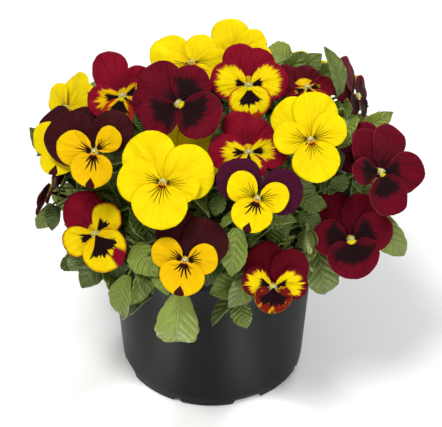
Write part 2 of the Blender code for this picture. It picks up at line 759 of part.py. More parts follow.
def fill_with_pot(space):
    """The pot's wall, a little fatter than it is, and the soil's top."""
    top = POT_HEIGHT + POT_GUARD
    for radius in (RIM_RADIUS + RIM_STEP + POT_GUARD, RIM_RADIUS - WALL - POT_GUARD):
        points = []
        faces = []
        for index in range(POT_STEPS):
            angle = index * math.tau / POT_STEPS
            x, y = radius * math.cos(angle), radius * math.sin(angle)
            points += [Vector((x, y, top)), Vector((x, y, POT_GUARD_FOOT))]
        for index in range(POT_STEPS):
            a = index * 2
            b = (a + 2) % (POT_STEPS * 2)
            faces.append((a, a + 1, b + 1, b))
        space.add("pot", points, faces)
    half = SOIL_GUARD_HALF
    corners = [Vector((x, y, SOIL_TOP + COLLAR)) for x, y in
               ((-half, -half), (half, -half), (half, half), (-half, half))]
    space.add("soil", corners, [(0, 1, 2, 3)])


# Stems, stalks and leaves

def smooth_path(start, start_pull, end_pull, end, steps):
    """Points along a Bezier curve."""
    places = []
    for step in range(steps + 1):
        t = step / steps
        s = 1 - t
        places.append(start * s ** 3 + start_pull * 3 * s * s * t
                      + end_pull * 3 * s * t * t + end * t ** 3)
    return places


def point_along(path, share):
    """The point of a path at a share of its length from the start."""
    place = share * (len(path) - 1)
    index = min(int(place), len(path) - 2)
    return path[index].lerp(path[index + 1], place - index)


def stem_foot(name):
    distance, degrees = STEMS[name]
    angle = math.radians(degrees)
    return Vector((math.sin(angle), -math.cos(angle), 0)) * distance * MM


def stem_path(name):
    """From the bottom of its hole up and out towards the middle of what it carries."""
    foot = stem_foot(name)
    foot.z = SOIL_TOP - HOLE_DEPTH + STEM_LIFT
    if name in LOW_STEM_TIPS:
        tip = LOW_STEM_TIPS[name].copy()
    else:
        carried = [bloom.eye for bloom in BLOOMS if bloom.stem == name]
        middle = sum(carried, Vector()) / len(carried)
        tip = Vector((foot.x, foot.y, SOIL_TOP)).lerp(middle, 0.52)
        tip.z = max(tip.z, LOWEST_STEM_TIP)
    collar = Vector((foot.x, foot.y, SOIL_TOP + COLLAR))
    rise = collar.lerp(tip, 0.2) + Vector((0, 0, STEM_RISE))
    return [foot] + smooth_path(collar, rise, tip - Vector((0, 0, STEM_RISE)), tip, 4)


def stalk_end(bloom):
    """The straight end of a bloom's stalk behind its hub, and the pull behind that."""
    axes = bloom_axes(bloom)
    end = axes @ Vector((0, STALK_RISE, HUBS[""][1] - GAP))
    out = axes.to_3x3() @ Vector((0, 0, 1))
    neck = end - out * STALK_NECK
    return end, neck, neck - out * STALK_PULL + Vector((0, 0, STALK_ARCH))


def calyx_sheet(bloom):
    """Five pointed sepals behind a bloom, as one star."""
    axes = bloom_axes(bloom)
    middle_height, tip_height, cleft_height = CALYX_HEIGHTS
    points = [axes @ Vector((0, STALK_RISE, middle_height))]
    for index, degrees in enumerate(SEPAL_ANGLES):
        angle = math.radians(degrees)
        tip = index % 2 == 0
        reach = SEPAL_REACH if tip else CLEFT_REACH
        height = tip_height if tip else cleft_height
        points.append(axes @ Vector((reach * math.cos(angle),
                                     STALK_RISE + reach * math.sin(angle), height)))
    count = len(SEPAL_ANGLES)
    faces = [(0, index + 1, (index + 1) % count + 1) for index in range(count)]
    return points, faces


def stalk_path(bloom, stem, space, draw):
    """A clear way from the stem to the bloom, bent aside as far as it needs."""
    end, neck, pull = stalk_end(bloom)
    node = bloom.stem
    best = None
    for attempt in range(160):
        share = draw.uniform(0.55, 1.0)
        start = point_along(stem, share)
        loose = (3 + attempt * 0.12) * MM
        lean = Vector((draw.uniform(-1, 1), draw.uniform(-1, 1), draw.uniform(-0.5, 1))) * loose
        path = smooth_path(start, start.lerp(neck, 0.35) + lean, pull + lean * 0.3, neck, 3)
        path.append(end)
        if best is None:
            best = path
        guard = path[:-1] + [end.lerp(neck, 0.4)]
        if space.is_clear(node, *fat_tube(guard, STALK_RADIUS + 0.7 * MM)):
            return path, True
    return best, False


def leaf_half_width(along):
    """Half width of a blade, of 1, without its teeth: narrow foot, broad middle, round tip."""
    return math.sin(math.pi * (0.06 + 0.88 * along) ** 0.88) ** 0.8


def leaf_tooth(along, teeth):
    """How far the edge stands out: full on a tooth, less between two."""
    return 1 - TOOTH_DEPTH * (1 - abs(math.sin(math.pi * along * teeth / 0.94)) ** 0.6)


def leaf_axes(base, tip, turn, facing):
    """Matrix of a blade: y from foot to tip, z out of its upper face."""
    ahead = (tip - base).normalized()
    face = (facing - ahead * facing.dot(ahead)).normalized()
    across = ahead.cross(face)
    face = face * math.cos(turn) + across * math.sin(turn)
    across = ahead.cross(face)
    axes = Matrix((across, ahead, face)).transposed().to_4x4()
    axes.translation = base
    return axes


def leaf_sheet(path, base, tip, width, turn, sag, facing, teeth):
    """Triangles of a blade folded along its middle, with scalloped edges, on its flat stalk."""
    axes = leaf_axes(base, tip, turn, facing)
    length = (tip - base).length
    side_step = axes.to_3x3() @ Vector((PETIOLE_RADIUS, 0, 0))
    rows = [0.0] + [0.94 * index / (2 * teeth) for index in range(1, 2 * teeth)]
    points = []
    for along in rows:
        half = width / 2 * leaf_half_width(along) * leaf_tooth(along, teeth)
        rise = sag * length * 4 * along * (1 - along)
        for side in (-1, 0, 1):
            points.append(axes @ Vector((side * half, along * length, rise + abs(side) * half * 0.3)))
    points.append(axes @ Vector((0, length, 0)))
    faces = []
    for row in range(len(rows) - 1):
        for side in range(2):
            a = row * 3 + side
            faces.append((a, a + 1, a + 4))
            faces.append((a, a + 4, a + 3))
    last = len(points) - 1
    faces.append((last - 3, last - 2, last))
    faces.append((last - 2, last - 1, last))
    outer, inner = 2, 0
    for place in reversed(path[:-1]):
        count = len(points)
        half = side_step * (0.45 if place is path[0] else 1.0)
        points += [place - half, place + half]
        if outer - inner == 2:
            faces.append((inner, count, 1))
            faces.append((1, count + 1, outer))
            faces.append((1, count, count + 1))
        else:
            faces.append((inner, count, count + 1))
            faces.append((inner, count + 1, outer))
        inner, outer = count, count + 1
    return points, faces


def petiole_path(stem, share, base, tip):
    start = point_along(stem, share)
    ahead = (tip - base).normalized()
    reach = (base - start).length
    pull = start.lerp(base, 0.4) + Vector((0, 0, reach * 0.2))
    return smooth_path(start, pull, base - ahead * reach * 0.25, base, 2)


def try_leaf(space, node, stem, share, base, tip, width, turn, sag, facing):
    """The blade where it crosses nothing, and its stalk clear of every other node."""
    teeth = LEAF_TEETH if width > SMALL_LEAF else SMALL_LEAF_TEETH
    path = petiole_path(stem, share, base, tip)
    sheet = leaf_sheet(path, base, tip, width, turn, sag, facing, teeth)
    points, faces = fat_sheet(*sheet, CLEARANCE)
    blade_end = 6 * teeth + 1
    count = len(sheet[0])
    blade = [face for face in faces if max(index % count for index in face) < blade_end]
    if not space.is_clear(node, points, faces) or not space.is_clear("", points, blade):
        return None
    return {"node": node, "sheet": sheet, "path": path, "base": base, "tip": tip,
            "width": width, "turn": turn, "sag": sag, "facing": facing, "teeth": teeth}


def place_shown_leaf(leaf, stems, space, draw):
    """A leaf of the picture, eased aside from its place until it is clear."""
    facing = seen_at(VIEW_MIDDLE, -VIEW_DISTANCE) - leaf.base
    for attempt in range(220):
        loose = attempt * 0.05 * MM
        shift = Vector((draw.uniform(-1, 1), draw.uniform(-1, 1), draw.uniform(-1, 1))) * loose
        swing = Vector((draw.uniform(-1, 1), draw.uniform(-1, 1), draw.uniform(-1, 1))) * loose
        turn = leaf.turn + draw.uniform(-1, 1) * attempt * 0.004
        share = draw.uniform(0.45, 1.0)
        placed = try_leaf(space, leaf.stem, stems[leaf.stem], share, leaf.base + shift,
                          leaf.tip + swing, leaf.width, turn, leaf.sag, facing)
        if placed:
            return placed
    return None


def inside_crown(point, share):
    offset = point - CROWN_MIDDLE
    scaled = Vector((offset.x / CROWN_RADII.x, offset.y / CROWN_RADII.y, offset.z / CROWN_RADII.z))
    return scaled.length < share


def place_spare_leaf(node, stem, space, draw):
    """A leaf inside the plant or on its unseen side, drawn until one is clear."""
    for attempt in range(200):
        share = draw.uniform(0.4, 1.0)
        start = point_along(stem, share)
        out = Vector((start.x, start.y, 0)).normalized()
        angle = draw.uniform(-1.5, 1.5)
        away = Matrix.Rotation(angle, 3, "Z") @ out
        away = (away + Vector((0, 0, draw.uniform(-0.15, 1.1)))).normalized()
        base = start + away * draw.uniform(9, 24) * MM
        ahead = (away + Vector((0, 0, draw.uniform(-0.5, 0.2)))).normalized()
        tip = base + ahead * draw.uniform(24, 33) * MM
        limit = 0.74 if tip.y < 0.0 else 1.0
        if not inside_crown(tip, limit) or base.z < POT_HEIGHT:
            continue
        facing = Vector((0, 0, 1)) + out * 0.6
        placed = try_leaf(space, node, stem, share, base, tip, draw.uniform(14, 19) * MM,
                          draw.uniform(-0.5, 0.5), draw.uniform(0.08, 0.2), facing)
        if placed:
            return placed
    return None


def keep(placed, space):
    space.add(placed["node"], *fat_sheet(*placed["sheet"], CLEARANCE))


def arrange():
    """Where every stem, stalk and leaf runs, each clear of the other nodes."""
    draw = random.Random(LEAF_SEED)
    space = Space()
    fill_with_pot(space)
    fill_with_blooms(space)
    stems = {name: stem_path(name) for name in STEMS}
    for name, path in stems.items():
        space.add(name, *fat_tube(path, STEM_RADIUS + 0.5 * MM))
    stalks = {}
    for bloom in BLOOMS:
        path, free = stalk_path(bloom, stems[bloom.stem], space, draw)
        if not free:
            print("no clear stalk for", bloom.name)
        stalks[bloom.name] = path
        space.add(bloom.stem, *fat_tube(path[:-1], STALK_RADIUS + 0.5 * MM))
        space.add(bloom.stem, *fat_sheet(*calyx_sheet(bloom), BLADE))
    leaves = []
    for leaf in LEAVES:
        placed = place_shown_leaf(leaf, stems, space, draw)
        if placed:
            keep(placed, space)
            leaves.append(placed)
        else:
            print("no clear place for a shown leaf of", leaf.stem)
    for name in SPARE_STEMS * SPARE_ROUNDS:
        placed = place_spare_leaf(name, stems[name], space, draw)
        if placed:
            keep(placed, space)
            leaves.append(placed)
    return stems, stalks, leaves


def build_stem(name, path, stalks, leaves, parts):
    """A stem with its leaves, stalks and sepals as one green body."""
    others = collection(f"{name}_pieces")
    for bloom in BLOOMS:
        if bloom.stem != name:
            continue
        stalk = stalks[bloom.name]
        radii = [STALK_RADIUS] * (len(stalk) - 2) + [STALK_RADIUS * 1.6] * 2
        tube(f"{name}_stalk", stalk, radii, others)
        add_blade(f"{name}_calyx", *calyx_sheet(bloom), others)
    for placed in leaves:
        if placed["node"] != name:
            continue
        add_blade(f"{name}_leaf", *placed["sheet"], others, LEAF_BLADE)
    thinner = [STEM_RADIUS - 0.4 * MM * index / (len(path) - 1) for index in range(len(path))]
    stem = tube(name, path, thinner, parts)
    bpy.context.view_layer.update()
    join_into(stem, others)
    keep_largest_body(stem.data)
    finish(stem, "green", 50)


def main():
    remove_everything()
    parts = collection("potted_horned_violet")
    cutters = collection("cutters")
    section = three_sided_section()
    stems, stalks, leaves = arrange()
    build_pot(parts, cutters)
    build_soil(parts, stems)
    for bloom in BLOOMS:
        build_bloom(bloom, parts)
    for name, path in stems.items():
        build_stem(name, path, stalks, leaves, parts)
    bpy.data.objects.remove(section)


main()
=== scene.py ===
"""The looks of the potted horned violet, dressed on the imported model, in metres, +Z up.

Every bloom, leaf and stem is made again finely from the rules that placed the solids, so each
piece lies where its solid is. Colours, veins, blotches and bumps come from shader nodes that
read how far a point is along and across its own petal or blade.
"""
import math
import random

import bmesh
import bpy
import numpy as np
from mathutils import Matrix, Vector, noise
from mathutils.bvhtree import BVHTree

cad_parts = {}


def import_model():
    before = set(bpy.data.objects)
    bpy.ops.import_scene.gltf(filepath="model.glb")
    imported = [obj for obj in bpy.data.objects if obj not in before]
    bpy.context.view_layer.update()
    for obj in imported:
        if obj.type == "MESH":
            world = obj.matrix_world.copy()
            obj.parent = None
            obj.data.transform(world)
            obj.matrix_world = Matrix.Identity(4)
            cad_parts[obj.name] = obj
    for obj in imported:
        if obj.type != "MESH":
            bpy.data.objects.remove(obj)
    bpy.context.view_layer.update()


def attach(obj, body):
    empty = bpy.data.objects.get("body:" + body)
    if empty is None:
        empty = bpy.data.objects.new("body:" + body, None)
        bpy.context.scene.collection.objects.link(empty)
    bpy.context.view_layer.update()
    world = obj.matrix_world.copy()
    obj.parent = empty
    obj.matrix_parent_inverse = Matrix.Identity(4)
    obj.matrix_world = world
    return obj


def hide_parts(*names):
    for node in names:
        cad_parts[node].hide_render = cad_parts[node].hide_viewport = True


MM = 0.001

# The pot, a usual 10.5 cm nursery pot
POT_HEIGHT = 88 * MM
RIM_RADIUS = 52.5 * MM
FOOT_RADIUS = 46.6 * MM
WALL = 1.2 * MM
FLOOR = 1.6 * MM
RIM_BAND = 8 * MM
RIM_STEP = 0.8 * MM
FOOT_BEVEL = 1.2 * MM
POT_STEPS = 32
NOTCH_COUNT = 8
# Height, width at the foot and width at the top, of every second notch and of those between
WIDE_NOTCH = (5 * MM, 19 * MM, 11 * MM)
NARROW_NOTCH = (3.2 * MM, 7.2 * MM, 2.6 * MM)
# How far a notch cuts in from the foot's edge, and how far its cutter stands out and below
NOTCH_DEPTH = 6 * MM
NOTCH_PROUD = 4 * MM
NOTCH_BELOW = 2 * MM

# The soil in it
GAP = 0.3 * MM
SOIL_TOP = 80 * MM
SOIL_LUMP = 1.4 * MM
HOLE_DEPTH = 14 * MM
COLLAR = 3 * MM

# Stems, stalks and leaves
STEM_LIFT = 4 * MM
STEM_RISE = 8 * MM
LOWEST_STEM_TIP = 100 * MM
STEM_RADIUS = 1.5 * MM
STALK_RADIUS = 0.95 * MM
STALK_PULL = 8 * MM
STALK_ARCH = 2.5 * MM
PETIOLE_RADIUS = 0.9 * MM
BLADE = 0.65 * MM
CLEARANCE = 1.5 * MM
POT_GUARD = 0.6 * MM
POT_GUARD_FOOT = 20 * MM
SOIL_GUARD_HALF = 33.6 * MM
LEAF_TEETH = 3
SMALL_LEAF = 13 * MM
SMALL_LEAF_TEETH = 2
TOOTH_DEPTH = 0.16
LEAF_SEED = 11
SPARE_ROUNDS = 2
# Tips of the sepals and the clefts between them, in turn, with room for the spur below
SEPAL_ANGLES = (90, 126, 162, 191, 220, 270, 320, 349, 18, 54)
SEPAL_REACH = 8.5 * MM
CLEFT_REACH = 1.8 * MM
# Heights behind the bloom's face: middle, sepal tips and clefts
CALYX_HEIGHTS = (-4.8 * MM, -6.2 * MM, -5.0 * MM)

# The view that the picture was taken from
VIEW_TARGET = Vector((4.4 * MM, 0.0, 87.8 * MM))
VIEW_DISTANCE = 900 * MM
VIEW_LIFT = math.radians(36.6)
VIEW_FOCUS = 1803
VIEW_MIDDLE = (221.0, 213.5)
PICTURE_WIDTH = 442
SENSOR = 36.0

# The dome that the whole plant fills
CROWN_MIDDLE = Vector((2 * MM, 0.0, 108 * MM))
CROWN_RADII = Vector((92 * MM, 88 * MM, 66 * MM))

# Each petal: axis and half spread in degrees, reach in bloom radii, height of its layer
PETALS = {
    "dorsal_left": (128, 70, 1.10, -2.7 * MM),
    "dorsal_right": (50, 70, 1.12, -1.7 * MM),
    "lateral_left": (184, 56, 0.95, -0.2 * MM),
    "lateral_right": (-4, 56, 0.95, -0.2 * MM),
    "lower": (-90, 68, 0.95, 0.9 * MM),
}
BACK_PETALS = ("dorsal_left", "dorsal_right")
FRONT_PETALS = ("lateral_left", "lateral_right", "lower")
OUTLINE_POWER = 0.38
PETAL_ROOT = 0.03
CLAW = 0.55
RUFFLE = 0.045
RUFFLE_WAVES = 7
BACK_BEND = -0.12
FRONT_BEND = 0.05
LOWER_BEND = 0.12

# The hub of a whole bloom, of its back petals and of its front petals: middle, low, high, radius
HUBS = {
    "": (0.0, -3.6 * MM, 1.5 * MM, 2.1 * MM),
    "_back": (1.3 * MM, -3.6 * MM, -1.4 * MM, 1.9 * MM),
    "_front": (0.0, -0.9 * MM, 1.5 * MM, 2.1 * MM),
}
# How far above the middle of the bloom its stalk ends, and the length of the stalk's neck
STALK_RISE = 1.2 * MM
STALK_NECK = 1.6 * MM

# How fine the dressed pieces are
PETAL_COLUMNS = 30
PETAL_ROWS = 15
PETAL_THICKNESS = 0.4 * MM
LEAF_COLUMNS = 12
LEAF_ROWS = 36
LEAF_THICKNESS = 0.5 * MM
EDGE_TEETH = 5
EDGE_DEPTH = 0.09
TUBE_SIDES = 8
HAIRS = 8

# Foliage that only this scene adds
FILL_LEAVES = 110
FILL_SEED = 5
TUFT_PLACES = (0.3, 0.42, 0.54, 0.66, 0.78, 0.88, 0.97)
TUFT_BLADES = 7
STALK_TUFT_PLACES = (0.06, 0.16, 0.27, 0.38, 0.5)
STALK_TUFT_BLADES = 4
STALK_TUFT_WIDTH = 1.5
# Nodding buds: stem, top and tip on the picture, how far forward in mm, and thickness
BUDS = (
    ("stem_right", (307, 229), (310, 253), 57, 2.3),
    ("stem_front_right", (309, 262), (313, 271), 56, 1.3),
)
BUD_PROFILE = (0.45, 0.85, 1.0, 0.95, 0.75, 0.5, 0.2)
TUFT_COLUMNS = 4
TUFT_ROWS = 9

CRUMBS = 420


class Bloom:
    """One bloom: its eye on the picture, how far forward it is and which way it looks."""

    def __init__(self, name, kind, stem, eye_px, forward, turn, lift, roll, width,
                 rows=2, petals=None, hidden=()):
        self.name = name
        self.kind = kind
        self.stem = stem
        self.eye = seen_at(eye_px, -forward * MM)
        self.turn = math.radians(turn)
        self.lift = math.radians(lift)
        self.roll = math.radians(roll)
        self.radius = width * MM / 2
        self.rows = rows
        self.petals = dict(PETALS)
        for role, changes in (petals or {}).items():
            self.petals[role] = changes + (PETALS[role][3],)
        for role in hidden:
            del self.petals[role]


class Leaf:
    """One leaf that the picture shows: where its blade starts and ends, and its width."""

    def __init__(self, stem, base_px, base_forward, tip_px, tip_forward, width, turn=0.0,
                 sag=0.12):
        self.stem = stem
        self.base = seen_at(base_px, -base_forward * MM)
        self.tip = seen_at(tip_px, -tip_forward * MM)
        self.width = width * MM
        self.turn = math.radians(turn)
        self.sag = sag


def seen_at(pixel, depth):
    """The point at y = depth that the picture shows at this pixel."""
    back = Vector((0, -math.cos(VIEW_LIFT), math.sin(VIEW_LIFT)))
    up = Vector((0, math.sin(VIEW_LIFT), math.cos(VIEW_LIFT)))
    right = Vector((1, 0, 0))
    eye = VIEW_TARGET + back * VIEW_DISTANCE
    across = (pixel[0] - VIEW_MIDDLE[0]) / VIEW_FOCUS
    above = (VIEW_MIDDLE[1] - pixel[1]) / VIEW_FOCUS
    ray = right * across + up * above - back
    return eye + ray * ((depth - eye.y) / ray.y)


def around(x, y, z):
    """A point given in millimetres."""
    return Vector((x, y, z)) * MM


BLOOMS = (
    Bloom("maroon_gold_left", "bicolour", "stem_left", (94.6, 151.5), 47, -15, 30, 15, 41,
          petals={"dorsal_left": (150, 62, 1.26), "dorsal_right": (43, 56, 1.04),
                  "lateral_left": (165, 56, 0.87), "lateral_right": (32, 46, 0.74),
                  "lower": (-104, 78, 0.82)}),
    Bloom("maroon_gold_far_left", "bicolour", "stem_far_left", (64, 140), 28, -38, 38, 12, 36,
          petals={"dorsal_left": (142, 56, 1.15), "dorsal_right": (52, 56, 1.1)}),
    Bloom("yellow_left_back", "yellow", "stem_left_back", (66, 108), 3, -62, 30, -6, 34, rows=1,
          hidden=("lower",)),
    Bloom("maroon_side_left", "bicolour", "stem_far_left", (50, 187), 28.5, -104, 12, 5, 34),
    Bloom("painted_low_left", "tricolour", "stem_left", (95.5, 233.8), 50, -18, 30, 42, 41,
          petals={"dorsal_left": (96, 60, 1.06), "dorsal_right": (62, 42, 0.8),
                  "lateral_left": (170, 50, 0.85), "lateral_right": (20, 56, 0.82),
                  "lower": (-87, 80, 0.93)}),
    Bloom("yellow_front", "yellow", "stem_front_left", (163, 181.4), 65.5, -5, 35, -9, 46,
          petals={"dorsal_left": (134, 64, 1.05), "dorsal_right": (32, 68, 1.03),
                  "lateral_left": (190, 58, 0.9), "lateral_right": (-2, 50, 0.74),
                  "lower": (-86, 76, 0.93)}),
    Bloom("yellow_behind_front", "yellow", "stem_middle", (186, 158), 41.5, 12, 40, -10, 36,
          rows=1, hidden=("lower",)),
    Bloom("red_top", "red", "stem_upper_left", (178.4, 103.5), 36, -5, 46, 58, 44,
          petals={"dorsal_left": (120, 52, 1.0), "dorsal_right": (77, 58, 1.08),
                  "lateral_left": (158, 60, 0.87), "lateral_right": (3, 58, 0.88),
                  "lower": (-86, 66, 1.0)}),
    Bloom("painted_top_left", "tricolour", "stem_upper_left", (122.6, 96), 22, -18, 40, 28, 39,
          petals={"dorsal_left": (104, 44, 1.24), "dorsal_right": (34, 46, 0.86),
                  "lateral_left": (176, 54, 0.86), "lateral_right": (0, 50, 0.7),
                  "lower": (-118, 60, 0.8)}),
    Bloom("yellow_top", "yellow", "stem_middle", (191.7, 62.8), 6, -8, 52, 4, 42,
          petals={"dorsal_left": (152, 54, 1.06), "dorsal_right": (66, 56, 0.76),
                  "lateral_left": (204, 46, 0.7), "lateral_right": (6, 42, 0.84),
                  "lower": (-62, 54, 0.8)}),
    Bloom("yellow_crest", "yellow", "stem_upper_right", (234, 58), -9, 4, 34, -8, 40, rows=1,
          petals={"dorsal_left": (103, 58, 0.96), "dorsal_right": (44, 46, 0.92)}),
    Bloom("painted_top", "tricolour", "stem_right_middle", (248.5, 85.5), 20.5, 4, 35, 0, 36,
          petals={"dorsal_left": (104, 48, 1.12), "dorsal_right": (64, 50, 1.04),
                  "lateral_left": (164, 60, 1.0), "lateral_right": (10, 60, 1.02),
                  "lower": (-88, 84, 0.86)}),
    Bloom("painted_top_right", "tricolour", "stem_upper_right", (307, 88), 13, 28, 56, -4, 34,
          petals={"dorsal_left": (130, 56, 1.04), "dorsal_right": (62, 50, 0.8),
                  "lateral_left": (190, 50, 0.8), "lateral_right": (-8, 50, 0.8)}),
    Bloom("yellow_right", "yellow", "stem_right", (310.5, 139.6), 50, 9, 35, 8, 42,
          petals={"dorsal_left": (112, 58, 1.02), "dorsal_right": (62, 58, 1.06),
                  "lateral_left": (162, 52, 0.82), "lateral_right": (14, 54, 0.84),
                  "lower": (-90, 70, 0.94)}),
    Bloom("painted_middle", "tricolour", "stem_right_middle", (248.5, 152.4), 48.5, 3, 40, 0, 38,
          petals={"dorsal_left": (106, 44, 1.08), "dorsal_right": (64, 46, 0.9),
                  "lateral_left": (178, 56, 0.96), "lateral_right": (6, 58, 0.96),
                  "lower": (-90, 70, 0.76)}),
    Bloom("plum_gold_middle", "bicolour", "stem_front_right", (257.2, 198.6), 74, 5, 30, -20, 40,
          petals={"dorsal_left": (150, 60, 1.04), "dorsal_right": (30, 60, 1.08),
                  "lateral_left": (160, 56, 0.77), "lateral_right": (20, 58, 0.72),
                  "lower": (-92, 78, 0.78)}),
    Bloom("maroon_gold_front", "bicolour", "stem_front_left", (185, 260), 80, -4, 30, -4, 38,
          petals={"dorsal_left": (110, 60, 1.16), "dorsal_right": (48, 62, 1.16),
                  "lateral_left": (166, 54, 0.84), "lateral_right": (9, 56, 0.8),
                  "lower": (-94, 84, 0.86)}),
    Bloom("painted_low_right", "tricolour", "stem_front_right", (273, 286.8), 76, 3, 24, 0, 34,
          petals={"dorsal_left": (108, 58, 1.22), "dorsal_right": (44, 54, 1.2),
                  "lateral_left": (160, 56, 0.88), "lateral_right": (8, 56, 0.96),
                  "lower": (-90, 100, 0.72)}),
    Bloom("red_right", "red", "stem_right", (350.9, 238.9), 54, 10, 30, 3, 41,
          petals={"dorsal_left": (117, 52, 1.18), "dorsal_right": (52, 58, 1.08),
                  "lateral_left": (168, 56, 0.9), "lateral_right": (9, 56, 0.98),
                  "lower": (-90, 92, 0.92)}),
    Bloom("red_far_right", "red", "stem_far_right", (380.8, 171.4), 45, 40, 26, 12, 40,
          petals={"dorsal_left": (84, 50, 1.04), "dorsal_right": (26, 52, 1.2),
                  "lateral_left": (146, 44, 0.86), "lateral_right": (-36, 46, 1.25),
                  "lower": (-108, 64, 1.06)}),
    Bloom("red_behind_right", "red", "stem_far_right", (369, 152), 25, 26, 42, -5, 36, rows=1,
          petals={"dorsal_left": (142, 60, 0.92), "dorsal_right": (80, 54, 0.84)},
          hidden=("lower",)),
    Bloom("red_side_right", "red", "stem_right_back", (357, 96), -6, 74, 16, 0, 36,
          petals={"dorsal_left": (112, 60, 1.06), "dorsal_right": (66, 60, 1.1),
                  "lateral_left": (184, 50, 0.66), "lateral_right": (-4, 50, 0.8),
                  "lower": (-90, 60, 0.6)}),
    Bloom("yellow_rear_right", "yellow", "stem_right_back", (330, 70), -52, 146, 32, 8, 40,
          rows=1),
    Bloom("red_rear", "red", "stem_rear", (268, 62), -78, 172, 26, -10, 42, rows=1),
    Bloom("yellow_rear", "yellow", "stem_rear", (196, 60), -63, 192, 44, 6, 42, rows=1),
    Bloom("maroon_gold_rear", "bicolour", "stem_rear_left", (136, 84), -72, 214, 28, 0, 40,
          rows=1),
    Bloom("red_rear_left", "red", "stem_rear_left", (92, 96), -39.5, 238, 34, 10, 38, rows=1),
)

# Where each stem stands in the soil: distance from the middle in mm, degrees right of front
STEMS = {
    "stem_front_left": (30, -22),
    "stem_front_right": (30, 20),
    "stem_right": (30, 52),
    "stem_far_right": (31, 82),
    "stem_left": (30, -56),
    "stem_far_left": (31, -88),
    "stem_upper_left": (14, -60),
    "stem_middle": (14, -10),
    "stem_right_middle": (14, 40),
    "stem_upper_right": (14, 100),
    "stem_left_back": (30, -122),
    "stem_right_back": (30, 116),
    "stem_rear": (18, 178),
    "stem_rear_left": (32, -154),
    "stem_low_left": (39, -36),
    "stem_low_right": (39, 36),
    "stem_low_rear": (34, 152),
}
# Those on the unseen side, which get leaves by a seeded draw
SPARE_STEMS = ("stem_rear", "stem_low_rear", "stem_left_back", "stem_rear_left",
               "stem_right_back")
LOW_STEM_TIPS = {
    "stem_low_left": around(-33, -53, 109),
    "stem_low_right": around(34, -54, 106),
    "stem_low_rear": around(30, 58, 112),
}

LEAVES = (
    Leaf("stem_front_left", (180, 292), 66, (176, 341), 60, 21, sag=0.18),
    Leaf("stem_low_left", (152, 294), 60, (121, 320), 56, 11, turn=42),
    Leaf("stem_low_left", (104, 262), 50, (133, 304), 58, 15, turn=-18),
    Leaf("stem_low_left", (112, 250), 46, (86, 288), 52, 14, turn=20),
    Leaf("stem_front_left", (140, 262), 58, (146, 296), 68, 12, turn=-34),
    Leaf("stem_front_right", (238, 228), 66, (232, 276), 74, 13, turn=8),
    Leaf("stem_low_right", (242, 276), 62, (210, 294), 68, 13, turn=-12),
    Leaf("stem_low_right", (243, 292), 60, (212, 326), 66, 9, turn=44),
    Leaf("stem_low_right", (240, 300), 58, (247, 328), 64, 11, turn=22),
    Leaf("stem_right", (318, 250), 46, (324, 294), 48, 16, turn=-6, sag=0.16),
    Leaf("stem_right", (372, 206), 42, (402, 258), 40, 15, turn=16, sag=0.16),
    Leaf("stem_upper_right", (334, 100), 10, (326, 52), 4, 10, turn=30),
    Leaf("stem_upper_right", (290, 62), -14, (262, 54), -18, 15, turn=36),
    Leaf("stem_upper_right", (312, 82), -8, (334, 74), -14, 14, turn=-30),
    Leaf("stem_right_back", (352, 118), 8, (345, 142), 24, 12, turn=28),
    Leaf("stem_far_right", (360, 130), 8, (393, 112), 4, 10, turn=14),
    Leaf("stem_middle", (240, 112), 36, (210, 131), 42, 13, turn=-6),
    Leaf("stem_right_middle", (262, 232), 52, (292, 222), 56, 13, turn=30),
    Leaf("stem_left", (134, 212), 48, (150, 244), 60, 13, turn=-24),
    Leaf("stem_far_left", (48, 160), 18, (30, 132), 14, 11, turn=20),
    Leaf("stem_far_left", (53, 204), 28, (37, 228), 30, 10, turn=-22),
    Leaf("stem_far_left", (58, 206), 30, (52, 230), 34, 8, turn=26),
    Leaf("stem_left_back", (86, 122), 10, (84, 94), 14, 9, turn=36),
    Leaf("stem_right", (318, 172), 36, (346, 184), 38, 15, turn=26),
    Leaf("stem_right_middle", (286, 178), 44, (316, 208), 42, 13, turn=-26),
    Leaf("stem_left", (66, 256), 36, (76, 270), 40, 11, turn=0),
)

